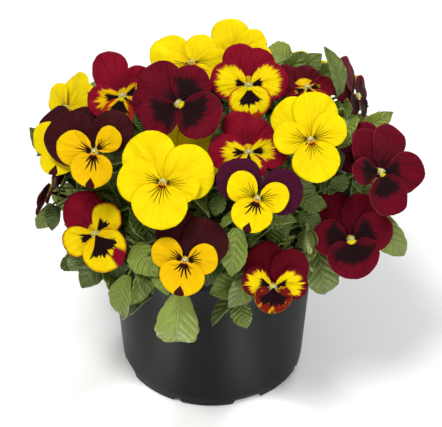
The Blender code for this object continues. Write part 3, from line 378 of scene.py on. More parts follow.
# More leaves that the picture shows between the blooms and over the rim
MORE_LEAVES = (
    Leaf("stem_left", (126, 240), 50, (120, 282), 62, 16, turn=-8, sag=0.2),
    Leaf("stem_front_left", (136, 244), 54, (158, 276), 66, 15, turn=14, sag=0.2),
    Leaf("stem_low_left", (130, 262), 58, (112, 300), 62, 13, turn=20, sag=0.2),
    Leaf("stem_low_left", (144, 268), 60, (132, 306), 66, 12, turn=-30, sag=0.2),
    Leaf("stem_front_left", (158, 262), 62, (166, 292), 70, 11, turn=20),
    Leaf("stem_low_left", (84, 250), 44, (70, 272), 44, 10, turn=-10),
    Leaf("stem_front_right", (222, 252), 58, (206, 286), 66, 12, turn=20, sag=0.18),
    Leaf("stem_low_right", (252, 262), 62, (228, 306), 70, 13, turn=-20, sag=0.2),
    Leaf("stem_low_right", (262, 244), 60, (244, 262), 66, 10, turn=10),
    Leaf("stem_right", (312, 232), 50, (304, 262), 54, 11, turn=10),
    Leaf("stem_right", (300, 212), 50, (318, 234), 52, 11, turn=-20),
    Leaf("stem_right_middle", (296, 196), 48, (322, 206), 50, 10, turn=16),
    Leaf("stem_right", (330, 188), 40, (356, 176), 42, 9, turn=20),
    Leaf("stem_far_right", (344, 160), 34, (334, 148), 36, 5, turn=20),
    Leaf("stem_far_right", (342, 146), 34, (360, 134), 36, 4, turn=-10),
    Leaf("stem_upper_right", (352, 122), 12, (360, 106), 10, 10, turn=20),
    Leaf("stem_upper_left", (146, 130), 34, (134, 114), 30, 7, turn=20),
    Leaf("stem_upper_left", (140, 134), 34, (150, 122), 32, 6, turn=-20),
    Leaf("stem_middle", (222, 196), 56, (214, 216), 62, 8, turn=10),
    Leaf("stem_middle", (206, 204), 56, (198, 220), 60, 7, turn=-20),
    Leaf("stem_right_middle", (284, 112), 22, (294, 128), 26, 9, turn=10),
    Leaf("stem_upper_right", (284, 76), -10, (300, 50), -14, 13, turn=20),
    Leaf("stem_upper_right", (300, 76), -12, (322, 54), -16, 12, turn=-10),
    Leaf("stem_upper_right", (326, 84), -4, (342, 66), -6, 11, turn=10),
)


# The same rules that placed the solids

def wall_radius(height):
    return FOOT_RADIUS + (RIM_RADIUS - FOOT_RADIUS) * height / POT_HEIGHT


def pot_outline():
    """Outer wall from the rim down, the underside, then the inside up again."""
    band_foot = POT_HEIGHT - RIM_BAND
    return [
        (0.0, FLOOR),
        (wall_radius(FLOOR) - WALL, FLOOR),
        (wall_radius(band_foot) - WALL, band_foot),
        (wall_radius(POT_HEIGHT) - WALL, POT_HEIGHT),
        (wall_radius(POT_HEIGHT) + RIM_STEP, POT_HEIGHT),
        (wall_radius(band_foot) + RIM_STEP, band_foot),
        (wall_radius(band_foot), band_foot - RIM_STEP),
        (wall_radius(FOOT_BEVEL), FOOT_BEVEL),
        (wall_radius(0.0) - FOOT_BEVEL, 0.0),
        (0.0, 0.0),
    ]


def soil_height(x, y):
    """The lumpy top of the soil, as a sum of two slow waves."""
    broad = math.sin(110 * x + 1.0) * math.cos(130 * y)
    fine = 0.5 * math.sin(260 * x - 190 * y)
    return SOIL_TOP + SOIL_LUMP * (broad + fine)


def bloom_axes(bloom):
    """Matrix from the bloom's own axes, x right, y up and z out of its face, to the world."""
    out = Vector((math.sin(bloom.turn) * math.cos(bloom.lift),
                  -math.cos(bloom.turn) * math.cos(bloom.lift),
                  math.sin(bloom.lift)))
    up = (Vector((0, 0, 1)) - out * out.z).normalized()
    right = up.cross(out)
    turned_up = up * math.cos(bloom.roll) - right * math.sin(bloom.roll)
    turned_right = turned_up.cross(out)
    axes = Matrix((turned_right, turned_up, out)).transposed().to_4x4()
    axes.translation = bloom.eye
    return axes


def petal_point(bloom, role, side, along):
    """A point of a petal: side runs from -1 to 1 across it, along from 0 at the throat to 1."""
    axis, spread, reach, layer = bloom.petals[role]
    across = math.sin(side * math.pi / 2)
    narrowing = CLAW + (1 - CLAW) * along
    angle = math.radians(axis + spread * across * narrowing)
    edge = max(math.cos(across * math.pi / 2), PETAL_ROOT) ** OUTLINE_POWER
    distance = reach * bloom.radius * edge * along
    share = distance / bloom.radius
    bend = {"lower": LOWER_BEND}.get(role, BACK_BEND if role in BACK_PETALS else FRONT_BEND)
    ruffle = RUFFLE * share ** 3 * math.sin(RUFFLE_WAVES * angle + bloom.roll * 3)
    height = layer + bloom.radius * (bend * share ** 2 + ruffle)
    return Vector((distance * math.cos(angle), distance * math.sin(angle), height))


def petal_sheet(bloom, role):
    """Triangles of one petal: two from the throat to three points halfway, then the edge."""
    columns = 6 if bloom.rows > 1 else 4
    edge = [petal_point(bloom, role, step * 2 / columns - 1, 1.0) for step in range(columns + 1)]
    points = [petal_point(bloom, role, 0.0, 0.0)]
    if bloom.rows == 1:
        points += edge
        return points, [(0, step + 1, step + 2) for step in range(columns)]
    points += [petal_point(bloom, role, side, 0.62) for side in (-0.62, 0.0, 0.62)]
    points += edge
    faces = [(0, 1, 2), (0, 2, 3)]
    for step in range(columns):
        inner = 1 + (step + 1) // 3
        faces.append((inner, step + 4, step + 5))
        following = 1 + (step + 2) // 3
        if following != inner and following < 4:
            faces.append((inner, step + 5, following))
    return points, faces


def fat_sheet(points, faces, thickness):
    """Both skins and the rim of a sheet given a thickness, for telling what it runs into."""
    normals = [Vector() for _ in points]
    for face in faces:
        a, b, c = (points[index] for index in face[:3])
        normal = (b - a).cross(c - a)
        for index in face:
            normals[index] += normal
    shifts = [normal.normalized() * thickness / 2 for normal in normals]
    skins = [point + shift for point, shift in zip(points, shifts)]
    skins += [point - shift for point, shift in zip(points, shifts)]
    count = len(points)
    edges = [(face[i - 1], face[i]) for face in faces for i in range(len(face))]
    single = set(edges)
    rim = [(a, b, b + count, a + count) for a, b in edges if (b, a) not in single]
    far = [tuple(index + count for index in face) for face in faces]
    return skins, list(faces) + far + rim


def fat_tube(path, radius):
    """A square tube along a path, for telling what it would run into."""
    points = []
    faces = []
    for index, place in enumerate(path):
        ahead = path[min(index + 1, len(path) - 1)] - path[max(index - 1, 0)]
        side = ahead.cross(Vector((0.3, 0.5, 1.0))).normalized() * radius
        over = ahead.cross(side).normalized() * radius
        points += [place + side, place + over, place - side, place - over]
    for index in range(len(path) - 1):
        for corner in range(4):
            a = index * 4 + corner
            b = index * 4 + (corner + 1) % 4
            faces.append((a, b, b + 4, a + 4))
    return points, faces


class Space:
    """What is placed already, so that pieces of different nodes stay clear of each other."""

    def __init__(self):
        self.taken = []

    def add(self, node, points, faces):
        self.taken.append((node, BVHTree.FromPolygons(points, faces)))

    def is_clear(self, node, points, faces):
        """Whether these faces cross nothing that another node owns."""
        tree = BVHTree.FromPolygons(points, faces)
        return not any(owner != node and tree.overlap(other) for owner, other in self.taken)


def fill_with_blooms(space):
    for bloom in BLOOMS:
        axes = bloom_axes(bloom)
        for role in bloom.petals:
            points, faces = petal_sheet(bloom, role)
            space.add(bloom.name, *fat_sheet([axes @ point for point in points], faces, BLADE * 1.6))
        horn = [axes @ Vector((0, -2.3 * MM, 0.4 * MM)), axes @ Vector((0, -2.0 * MM, -9 * MM))]
        space.add(bloom.name, *fat_tube(horn, 1.6 * MM))


def fill_with_pot(space):
    """The pot's wall, a little fatter than it is, and the soil's top."""
    top = POT_HEIGHT + POT_GUARD
    for radius in (RIM_RADIUS + RIM_STEP + POT_GUARD, RIM_RADIUS - WALL - POT_GUARD):
        points = []
        faces = []
        for index in range(POT_STEPS):
            angle = index * math.tau / POT_STEPS
            x, y = radius * math.cos(angle), radius * math.sin(angle)
            points += [Vector((x, y, top)), Vector((x, y, POT_GUARD_FOOT))]
        for index in range(POT_STEPS):
            a = index * 2
            b = (a + 2) % (POT_STEPS * 2)
            faces.append((a, a + 1, b + 1, b))
        space.add("pot", points, faces)
    half = SOIL_GUARD_HALF
    corners = [Vector((x, y, SOIL_TOP + COLLAR)) for x, y in
               ((-half, -half), (half, -half), (half, half), (-half, half))]
    space.add("soil", corners, [(0, 1, 2, 3)])


def smooth_path(start, start_pull, end_pull, end, steps):
    """Points along a Bezier curve."""
    places = []
    for step in range(steps + 1):
        t = step / steps
        s = 1 - t
        places.append(start * s ** 3 + start_pull * 3 * s * s * t
                      + end_pull * 3 * s * t * t + end * t ** 3)
    return places


def point_along(path, share):
    """The point of a path at a share of its length from the start."""
    place = share * (len(path) - 1)
    index = min(int(place), len(path) - 2)
    return path[index].lerp(path[index + 1], place - index)


def stem_foot(name):
    distance, degrees = STEMS[name]
    angle = math.radians(degrees)
    return Vector((math.sin(angle), -math.cos(angle), 0)) * distance * MM


def stem_path(name):
    """From the bottom of its hole up and out towards the middle of what it carries."""
    foot = stem_foot(name)
    foot.z = SOIL_TOP - HOLE_DEPTH + STEM_LIFT
    if name in LOW_STEM_TIPS:
        tip = LOW_STEM_TIPS[name].copy()
    else:
        carried = [bloom.eye for bloom in BLOOMS if bloom.stem == name]
        middle = sum(carried, Vector()) / len(carried)
        tip = Vector((foot.x, foot.y, SOIL_TOP)).lerp(middle, 0.52)
        tip.z = max(tip.z, LOWEST_STEM_TIP)
    collar = Vector((foot.x, foot.y, SOIL_TOP + COLLAR))
    rise = collar.lerp(tip, 0.2) + Vector((0, 0, STEM_RISE))
    return [foot] + smooth_path(collar, rise, tip - Vector((0, 0, STEM_RISE)), tip, 4)


def stalk_end(bloom):
    """The straight end of a bloom's stalk behind its hub, and the pull behind that."""
    axes = bloom_axes(bloom)
    end = axes @ Vector((0, STALK_RISE, HUBS[""][1] - GAP))
    out = axes.to_3x3() @ Vector((0, 0, 1))
    neck = end - out * STALK_NECK
    return end, neck, neck - out * STALK_PULL + Vector((0, 0, STALK_ARCH))


def calyx_sheet(bloom):
    """Five pointed sepals behind a bloom, as one star."""
    axes = bloom_axes(bloom)
    middle_height, tip_height, cleft_height = CALYX_HEIGHTS
    points = [axes @ Vector((0, STALK_RISE, middle_height))]
    for index, degrees in enumerate(SEPAL_ANGLES):
        angle = math.radians(degrees)
        tip = index % 2 == 0
        reach = SEPAL_REACH if tip else CLEFT_REACH
        height = tip_height if tip else cleft_height
        points.append(axes @ Vector((reach * math.cos(angle),
                                     STALK_RISE + reach * math.sin(angle), height)))
    count = len(SEPAL_ANGLES)
    faces = [(0, index + 1, (index + 1) % count + 1) for index in range(count)]
    return points, faces


def stalk_path(bloom, stem, space, draw):
    """A clear way from the stem to the bloom, bent aside as far as it needs."""
    end, neck, pull = stalk_end(bloom)
    node = bloom.stem
    best = None
    for attempt in range(160):
        share = draw.uniform(0.55, 1.0)
        start = point_along(stem, share)
        loose = (3 + attempt * 0.12) * MM
        lean = Vector((draw.uniform(-1, 1), draw.uniform(-1, 1), draw.uniform(-0.5, 1))) * loose
        path = smooth_path(start, start.lerp(neck, 0.35) + lean, pull + lean * 0.3, neck, 3)
        path.append(end)
        if best is None:
            best = path
        guard = path[:-1] + [end.lerp(neck, 0.4)]
        if space.is_clear(node, *fat_tube(guard, STALK_RADIUS + 0.7 * MM)):
            return path, True
    return best, False


def leaf_half_width(along):
    """Half width of a blade, of 1, without its teeth: narrow foot, broad middle, round tip."""
    return math.sin(math.pi * (0.06 + 0.88 * along) ** 0.88) ** 0.8


def leaf_tooth(along, teeth):
    """How far the edge stands out: full on a tooth, less between two."""
    return 1 - TOOTH_DEPTH * (1 - abs(math.sin(math.pi * along * teeth / 0.94)) ** 0.6)


def leaf_axes(base, tip, turn, facing):
    """Matrix of a blade: y from foot to tip, z out of its upper face."""
    ahead = (tip - base).normalized()
    face = (facing - ahead * facing.dot(ahead)).normalized()
    across = ahead.cross(face)
    face = face * math.cos(turn) + across * math.sin(turn)
    across = ahead.cross(face)
    axes = Matrix((across, ahead, face)).transposed().to_4x4()
    axes.translation = base
    return axes


def leaf_sheet(path, base, tip, width, turn, sag, facing, teeth):
    """Triangles of a blade folded along its middle, with scalloped edges, on its flat stalk."""
    axes = leaf_axes(base, tip, turn, facing)
    length = (tip - base).length
    side_step = axes.to_3x3() @ Vector((PETIOLE_RADIUS, 0, 0))
    rows = [0.0] + [0.94 * index / (2 * teeth) for index in range(1, 2 * teeth)]
    points = []
    for along in rows:
        half = width / 2 * leaf_half_width(along) * leaf_tooth(along, teeth)
        rise = sag * length * 4 * along * (1 - along)
        for side in (-1, 0, 1):
            points.append(axes @ Vector((side * half, along * length, rise + abs(side) * half * 0.3)))
    points.append(axes @ Vector((0, length, 0)))
    faces = []
    for row in range(len(rows) - 1):
        for side in range(2):
            a = row * 3 + side
            faces.append((a, a + 1, a + 4))
            faces.append((a, a + 4, a + 3))
    last = len(points) - 1
    faces.append((last - 3, last - 2, last))
    faces.append((last - 2, last - 1, last))
    outer, inner = 2, 0
    for place in reversed(path[:-1]):
        count = len(points)
        half = side_step * (0.45 if place is path[0] else 1.0)
        points += [place - half, place + half]
        if outer - inner == 2:
            faces.append((inner, count, 1))
            faces.append((1, count + 1, outer))
            faces.append((1, count, count + 1))
        else:
            faces.append((inner, count, count + 1))
            faces.append((inner, count + 1, outer))
        inner, outer = count, count + 1
    return points, faces


def petiole_path(stem, share, base, tip):
    start = point_along(stem, share)
    ahead = (tip - base).normalized()
    reach = (base - start).length
    pull = start.lerp(base, 0.4) + Vector((0, 0, reach * 0.2))
    return smooth_path(start, pull, base - ahead * reach * 0.25, base, 2)


def try_leaf(space, node, stem, share, base, tip, width, turn, sag, facing):
    """The blade where it crosses nothing, and its stalk clear of every other node."""
    teeth = LEAF_TEETH if width > SMALL_LEAF else SMALL_LEAF_TEETH
    path = petiole_path(stem, share, base, tip)
    sheet = leaf_sheet(path, base, tip, width, turn, sag, facing, teeth)
    points, faces = fat_sheet(*sheet, CLEARANCE)
    blade_end = 6 * teeth + 1
    count = len(sheet[0])
    blade = [face for face in faces if max(index % count for index in face) < blade_end]
    if not space.is_clear(node, points, faces) or not space.is_clear("", points, blade):
        return None
    return {"node": node, "sheet": sheet, "path": path, "base": base, "tip": tip,
            "width": width, "turn": turn, "sag": sag, "facing": facing, "teeth": teeth}


def place_shown_leaf(leaf, stems, space, draw):
    """A leaf of the picture, eased aside from its place until it is clear."""
    facing = seen_at(VIEW_MIDDLE, -VIEW_DISTANCE) - leaf.base
    for attempt in range(220):
        loose = attempt * 0.05 * MM
        shift = Vector((draw.uniform(-1, 1), draw.uniform(-1, 1), draw.uniform(-1, 1))) * loose
        swing = Vector((draw.uniform(-1, 1), draw.uniform(-1, 1), draw.uniform(-1, 1))) * loose
        turn = leaf.turn + draw.uniform(-1, 1) * attempt * 0.004
        share = draw.uniform(0.45, 1.0)
        placed = try_leaf(space, leaf.stem, stems[leaf.stem], share, leaf.base + shift,
                          leaf.tip + swing, leaf.width, turn, leaf.sag, facing)
        if placed:
            return placed
    return None


def inside_crown(point, share):
    offset = point - CROWN_MIDDLE
    scaled = Vector((offset.x / CROWN_RADII.x, offset.y / CROWN_RADII.y, offset.z / CROWN_RADII.z))
    return scaled.length < share


def place_spare_leaf(node, stem, space, draw):
    """A leaf inside the plant or on its unseen side, drawn until one is clear."""
    for attempt in range(200):
        share = draw.uniform(0.4, 1.0)
        start = point_along(stem, share)
        out = Vector((start.x, start.y, 0)).normalized()
        angle = draw.uniform(-1.5, 1.5)
        away = Matrix.Rotation(angle, 3, "Z") @ out
        away = (away + Vector((0, 0, draw.uniform(-0.15, 1.1)))).normalized()
        base = start + away * draw.uniform(9, 24) * MM
        ahead = (away + Vector((0, 0, draw.uniform(-0.5, 0.2)))).normalized()
        tip = base + ahead * draw.uniform(24, 33) * MM
        limit = 0.74 if tip.y < 0.0 else 1.0
        if not inside_crown(tip, limit) or base.z < POT_HEIGHT:
            continue
        facing = Vector((0, 0, 1)) + out * 0.6
        placed = try_leaf(space, node, stem, share, base, tip, draw.uniform(14, 19) * MM,
                          draw.uniform(-0.5, 0.5), draw.uniform(0.08, 0.2), facing)
        if placed:
            return placed
    return None


def keep(placed, space):
    space.add(placed["node"], *fat_sheet(*placed["sheet"], CLEARANCE))


def arrange():
    """Where every stem, stalk and leaf runs, each clear of the other nodes."""
    draw = random.Random(LEAF_SEED)
    space = Space()
    fill_with_pot(space)
    fill_with_blooms(space)
    stems = {name: stem_path(name) for name in STEMS}
    for name, path in stems.items():
        space.add(name, *fat_tube(path, STEM_RADIUS + 0.5 * MM))
    stalks = {}
    for bloom in BLOOMS:
        path, free = stalk_path(bloom, stems[bloom.stem], space, draw)
        if not free:
            print("no clear stalk for", bloom.name)
        stalks[bloom.name] = path
        space.add(bloom.stem, *fat_tube(path[:-1], STALK_RADIUS + 0.5 * MM))
        space.add(bloom.stem, *fat_sheet(*calyx_sheet(bloom), BLADE))
    leaves = []
    for leaf in LEAVES:
        placed = place_shown_leaf(leaf, stems, space, draw)
        if placed:
            keep(placed, space)
            leaves.append(placed)
        else:
            print("no clear place for a shown leaf of", leaf.stem)
    for name in SPARE_STEMS * SPARE_ROUNDS:
        placed = place_spare_leaf(name, stems[name], space, draw)
        if placed:
            keep(placed, space)
            leaves.append(placed)
    return stems, stalks, leaves


# Shader nodes

class Shader:
    """A material's node tree, built up by short calls that return sockets."""

    def __init__(self, name):
        self.material = bpy.data.materials.new(name)
        self.material.use_nodes = True
        self.tree = self.material.node_tree
        self.surface = self.tree.nodes["Principled BSDF"]

    def add(self, kind, **settings):
        node = self.tree.nodes.new(kind)
        for key, value in settings.items():
            setattr(node, key, value)
        return node

    def link(self, value, socket):
        if isinstance(value, bpy.types.NodeSocket):
            self.tree.links.new(value, socket)
        elif isinstance(value, tuple) and len(value) == 3 and socket.type == "RGBA":
            socket.default_value = (*value, 1.0)
        else:
            socket.default_value = value

    def set(self, name, value):
        self.link(value, self.surface.inputs[name])

    def math(self, operation, first, second=0.0, third=0.0):
        node = self.add("ShaderNodeMath", operation=operation)
        for value, socket in zip((first, second, third), node.inputs):
            self.link(value, socket)
        return node.outputs[0]

    def mix(self, share, first, second, blend="MIX"):
        node = self.add("ShaderNodeMix", data_type="RGBA", blend_type=blend)
        self.link(share, node.inputs["Factor"])
        self.link(first, node.inputs[6])
        self.link(second, node.inputs[7])
        return node.outputs[2]

    def step(self, value, low, high, start=0.0, end=1.0):
        """Runs smoothly from start to end as the value goes from low to high."""
        node = self.add("ShaderNodeMapRange", interpolation_type="SMOOTHSTEP")
        for given, name in ((value, "Value"), (low, "From Min"), (high, "From Max"),
                            (start, "To Min"), (end, "To Max")):
            self.link(given, node.inputs[name])
        return node.outputs["Result"]

    def noise(self, place, scale=1.0, detail=2.0, roughness=0.5):
        node = self.add("ShaderNodeTexNoise")
        self.link(place, node.inputs["Vector"])
        node.inputs["Scale"].default_value = scale
        node.inputs["Detail"].default_value = detail
        node.inputs["Roughness"].default_value = roughness
        return node.outputs["Fac"]

    def random(self, value):
        node = self.add("ShaderNodeTexWhiteNoise", noise_dimensions="1D")
        self.link(value, node.inputs["W"])
        return node.outputs["Value"]

    def place(self, x, y, z=0.0):
        node = self.add("ShaderNodeCombineXYZ")
        for value, socket in zip((x, y, z), node.inputs):
            self.link(value, socket)
        return node.outputs[0]

    def chart(self, name):
        """The two numbers that a piece's points carry in a layer of this name."""
        found = self.add("ShaderNodeUVMap", uv_map=name)
        parts = self.add("ShaderNodeSeparateXYZ")
        self.tree.links.new(found.outputs[0], parts.inputs[0])
        return parts.outputs[0], parts.outputs[1]

    def bump(self, height, distance, strength=1.0, under=None):
        node = self.add("ShaderNodeBump")
        self.link(height, node.inputs["Height"])
        node.inputs["Distance"].default_value = distance
        node.inputs["Strength"].default_value = strength
        if under is not None:
            self.tree.links.new(under, node.inputs["Normal"])
        return node.outputs[0]


def petal_look(name, base, deep, blotch=None, whiskers=None, border=None, streaks=None,
               tip=None, spot=None, edge=None, eye=None, sheen=0.0, roughness=0.6, glow=0.06,
               core=0.5):
    """A petal's skin. Lengths are in bloom radii and runs across a petal from -1 to 1.

    blotch: colour, reach, half width, softness. whiskers: reach, thickness, lanes on half a
    petal. border: colour, start, raggedness. streaks: colour, how rare from 0 to 1.
    tip: colour, start, half width, side. spot: colour, place along, half width.
    edge: colour of the thin rim. eye: colour and reach at the throat. core: how much of the
    deep colour the middle of the bloom takes.
    """
    s = Shader(name)
    across, along = s.chart("sheet")
    distance, tone = s.chart("petal")
    across = s.math("MULTIPLY_ADD", across, 2.0, -1.0)
    side = s.math("ABSOLUTE", across)
    seed = s.math("MULTIPLY", tone, 37.0)
    fibres = s.noise(s.place(s.math("MULTIPLY", across, 26.0), s.math("MULTIPLY", distance, 1.6), seed),
                     detail=3.0, roughness=0.6)
    ragged = s.noise(s.place(s.math("MULTIPLY", across, 11.0), s.math("MULTIPLY", distance, 1.2), seed),
                     detail=3.0, roughness=0.65)
    clouds = s.noise(s.place(s.math("MULTIPLY", across, 2.0), s.math("MULTIPLY", distance, 3.0), seed))
    colour = s.mix(s.step(fibres, 0.42, 0.72, 0.0, 0.55), base, deep)
    # Soft patches of the deep colour: uneven tone, and painted shade that stands in for the shading of broad folds
    colour = s.mix(s.step(clouds, 0.4, 0.75, 0.0, 0.35), colour, deep)
    colour = s.mix(s.step(distance, 0.8, 0.1, 0.0, core), colour, deep)
    if border:
        paint, start, loose = border
        limit = s.math("MULTIPLY_ADD", s.math("SUBTRACT", 0.5, ragged), loose, start)
        shift = s.math("SUBTRACT", along, limit)
        colour = s.mix(s.step(shift, -0.1, -0.01, 0.0, 0.65), colour, SCARLET)
        colour = s.mix(s.step(shift, -0.03, 0.03), colour, paint)
    if streaks:
        paint, rare = streaks
        flames = s.noise(s.place(s.math("MULTIPLY", across, 9.0), s.math("MULTIPLY", distance, 4.0),
                                 s.math("ADD", seed, 9.0)), detail=4.0, roughness=0.7)
        colour = s.mix(s.step(flames, rare, rare + 0.1, 0.0, 0.85), colour, paint)
    if tip:
        paint, start, width, aside = tip
        limit = s.math("MULTIPLY_ADD", s.math("SUBTRACT", 0.5, ragged), 0.35, start)
        reach = s.step(s.math("SUBTRACT", along, limit), -0.03, 0.03)
        off = s.math("ABSOLUTE", s.math("SUBTRACT", across, aside))
        within = s.step(s.math("SUBTRACT", width, off), -0.03, 0.06)
        colour = s.mix(s.math("MULTIPLY", reach, within), colour, paint)
    if spot:
        paint, middle, width = spot
        wide = s.math("DIVIDE", side, s.math("MULTIPLY", width, s.step(along, middle - 0.2, middle + 0.1, 0.35, 1.0)))
        long = s.math("DIVIDE", s.math("SUBTRACT", along, middle), 0.17)
        oval = s.math("ADD", s.math("POWER", wide, 2.0), s.math("POWER", s.math("ABSOLUTE", long), 2.0))
        colour = s.mix(s.step(oval, 1.15, 0.85), colour, paint)
    if blotch:
        paint, reach, width, soft = blotch
        limit = s.math("MULTIPLY_ADD", s.math("SUBTRACT", ragged, 0.5), 0.42, reach)
        inward = s.step(s.math("SUBTRACT", limit, distance), -soft, soft)
        limit = s.math("MULTIPLY_ADD", s.math("SUBTRACT", fibres, 0.5), 0.35, width)
        within = s.step(s.math("SUBTRACT", limit, side), -soft * 2, soft * 2)
        colour = s.mix(s.math("MULTIPLY", inward, within), colour, paint)
    if eye:
        paint, reach = eye
        colour = s.mix(s.step(distance, reach + 0.03, reach - 0.02), colour, paint)
    if whiskers:
        length, thick, lanes = whiskers
        lane = s.math("MULTIPLY_ADD", clouds, 0.25, s.math("MULTIPLY", across, lanes))
        number = s.math("ROUND", lane)
        off = s.math("ABSOLUTE", s.math("SUBTRACT", lane, number))
        shorter = s.math("MULTIPLY", s.math("MULTIPLY", side, side), -0.12)
        reach = s.math("MULTIPLY_ADD", s.random(s.math("ADD", number, seed)), 0.2, length - 0.08)
        reach = s.math("ADD", reach, shorter)
        left = s.math("MAXIMUM", s.math("SUBTRACT", 1.0, s.math("DIVIDE", distance, reach)), 0.0)
        width = s.math("DIVIDE", s.math("MULTIPLY", s.math("POWER", left, 0.6), thick), distance)
        line = s.step(s.math("SUBTRACT", width, off), -0.035, 0.0)
        line = s.math("MULTIPLY", line, s.step(left, 0.0, 0.08))
        line = s.math("MULTIPLY", line, s.step(distance, 0.06, 0.1))
        line = s.math("MULTIPLY", line, s.step(side, 0.9, 0.7))
        colour = s.mix(line, colour, (0.02, 0.003, 0.002))
    if edge:
        colour = s.mix(s.step(along, 0.985, 1.0, 0.0, 0.5), colour, edge)
    s.set("Base Color", colour)
    s.set("Roughness", s.step(fibres, 0.3, 0.8, roughness - 0.05, roughness + 0.1))
    s.set("Sheen Weight", sheen)
    s.set("Sheen Roughness", 0.4)
    s.set("Subsurface Weight", glow)
    s.set("Subsurface Scale", 1.2 * MM)
    s.set("Specular IOR Level", 0.05)
    grain = s.noise(s.place(s.math("MULTIPLY", across, 120.0), s.math("MULTIPLY", distance, 60.0), seed))
    under = s.bump(grain, 0.03 * MM, 0.5)
    under = s.bump(fibres, 0.35 * MM, 0.7, under)
    folds = s.noise(s.place(s.math("MULTIPLY", across, 2.6), s.math("MULTIPLY", distance, 1.8), seed),
                    detail=1.0)
    s.set("Normal", s.bump(folds, 4.5 * MM, 0.55, under))
    return s.material


def leaf_look(name, young, old, vein, roughness, bumps=1.0):
    """A leaf's skin: a pale midrib, side veins that run forward, and a puckered blade."""
    s = Shader(name)
    across, along = s.chart("sheet")
    tone, stalk = s.chart("petal")
    across = s.math("MULTIPLY_ADD", across, 2.0, -1.0)
    side = s.math("ABSOLUTE", across)
    seed = s.math("MULTIPLY", tone, 53.0)
    place = s.place(s.math("MULTIPLY", across, 3.0), s.math("MULTIPLY", along, 7.0), seed)
    patches = s.noise(place, 1.0, 3.0)
    lane = s.math("SUBTRACT", s.math("MULTIPLY", along, 6.5), s.math("MULTIPLY", side, 1.5))
    lane = s.math("MULTIPLY_ADD", patches, 0.35, lane)
    off = s.math("ABSOLUTE", s.math("SUBTRACT", lane, s.math("ROUND", lane)))
    branches = s.step(off, 0.09, 0.015)
    branches = s.math("MULTIPLY", branches, s.step(side, 1.0, 0.5, 0.25, 1.0))
    rib = s.step(side, 0.1, 0.03)
    veins = s.math("MAXIMUM", branches, rib)
    blade = s.math("LESS_THAN", stalk, 0.5)
    veins = s.math("MULTIPLY", veins, blade)
    colour = s.mix(tone, young, old)
    colour = s.mix(s.step(patches, 0.35, 0.7, 0.0, 0.4), colour, old)
    colour = s.mix(s.math("MULTIPLY", veins, 0.55), colour, vein)
    colour = s.mix(s.step(side, 0.93, 1.0, 0.0, 0.3), colour, vein)
    colour = s.mix(stalk, colour, vein)
    s.set("Base Color", colour)
    s.set("Roughness", s.step(patches, 0.3, 0.7, roughness, roughness + 0.12))
    s.set("Specular IOR Level", 0.32)
    s.set("Subsurface Weight", 0.08)
    s.set("Subsurface Scale", 0.8 * MM)
    fine = s.noise(s.place(s.math("MULTIPLY", across, 26.0), s.math("MULTIPLY", along, 60.0), seed), detail=1.0)
    under = s.bump(fine, 0.08 * MM * bumps, 0.7)
    pucker = s.math("SUBTRACT", s.step(off, 0.0, 0.4), s.math("MULTIPLY", rib, 1.5))
    s.set("Normal", s.bump(pucker, 0.5 * MM * bumps, 0.8, under))
    return s.material


def plain_look(name, first, second, scale, roughness, bump, detail=3.0, glow=0.0):
    """A skin of two colours in soft patches with a fine bump."""
    s = Shader(name)
    where = s.add("ShaderNodeTexCoord").outputs["Object"]
    patches = s.noise(where, scale, detail)
    fine = s.noise(where, scale * 6, 2.0)
    s.set("Base Color", s.mix(s.step(patches, 0.35, 0.65), first, second))
    s.set("Roughness", s.step(fine, 0.3, 0.7, roughness - 0.06, roughness + 0.06))
    s.set("Subsurface Weight", glow)
    s.set("Subsurface Scale", 0.8 * MM)
    s.set("Normal", s.bump(fine, bump))
    return s.material


def pot_look():
    """Black moulded plastic, satin, with faint upright flow marks and dust."""
    s = Shader("pot_plastic")
    where = s.add("ShaderNodeTexCoord").outputs["Object"]
    parts = s.add("ShaderNodeSeparateXYZ")
    s.tree.links.new(where, parts.inputs[0])
    x, y, z = parts.outputs
    stretched = s.place(s.math("MULTIPLY", x, 260.0), s.math("MULTIPLY", y, 260.0), s.math("MULTIPLY", z, 18.0))
    streaks = s.noise(stretched, 1.0, 3.0)
    dust = s.noise(where, 90.0, 4.0, 0.65)
    colour = s.mix(s.step(streaks, 0.3, 0.75), (0.0062, 0.0058, 0.006), (0.0085, 0.008, 0.0083))
    colour = s.mix(s.step(dust, 0.62, 0.8, 0.0, 0.06), colour, (0.04, 0.037, 0.035))
    s.set("Base Color", colour)
    s.set("Roughness", s.step(streaks, 0.25, 0.75, 0.4, 0.46))
    s.set("Specular IOR Level", 0.1)
    pebble = s.noise(where, 1500.0, 2.0)
    under = s.bump(pebble, 0.03 * MM, 0.25)
    s.set("Normal", s.bump(streaks, 0.05 * MM, 0.2, under))
    return s.material


def soil_look():
    """Dark damp peat with lighter fibres and a few pale grains."""
    s = Shader("soil_peat")
    where = s.add("ShaderNodeTexCoord").outputs["Object"]
    lumps = s.noise(where, 320.0, 5.0, 0.7)
    grains = s.noise(where, 900.0, 2.0)
    colour = s.mix(s.step(lumps, 0.35, 0.65), (0.012, 0.008, 0.006), (0.045, 0.028, 0.018))
    colour = s.mix(s.step(grains, 0.68, 0.74, 0.0, 0.6), colour, (0.16, 0.12, 0.085))
    s.set("Base Color", colour)
    s.set("Roughness", 0.95)
    s.set("Normal", s.bump(lumps, 1.2 * MM))
    return s.material


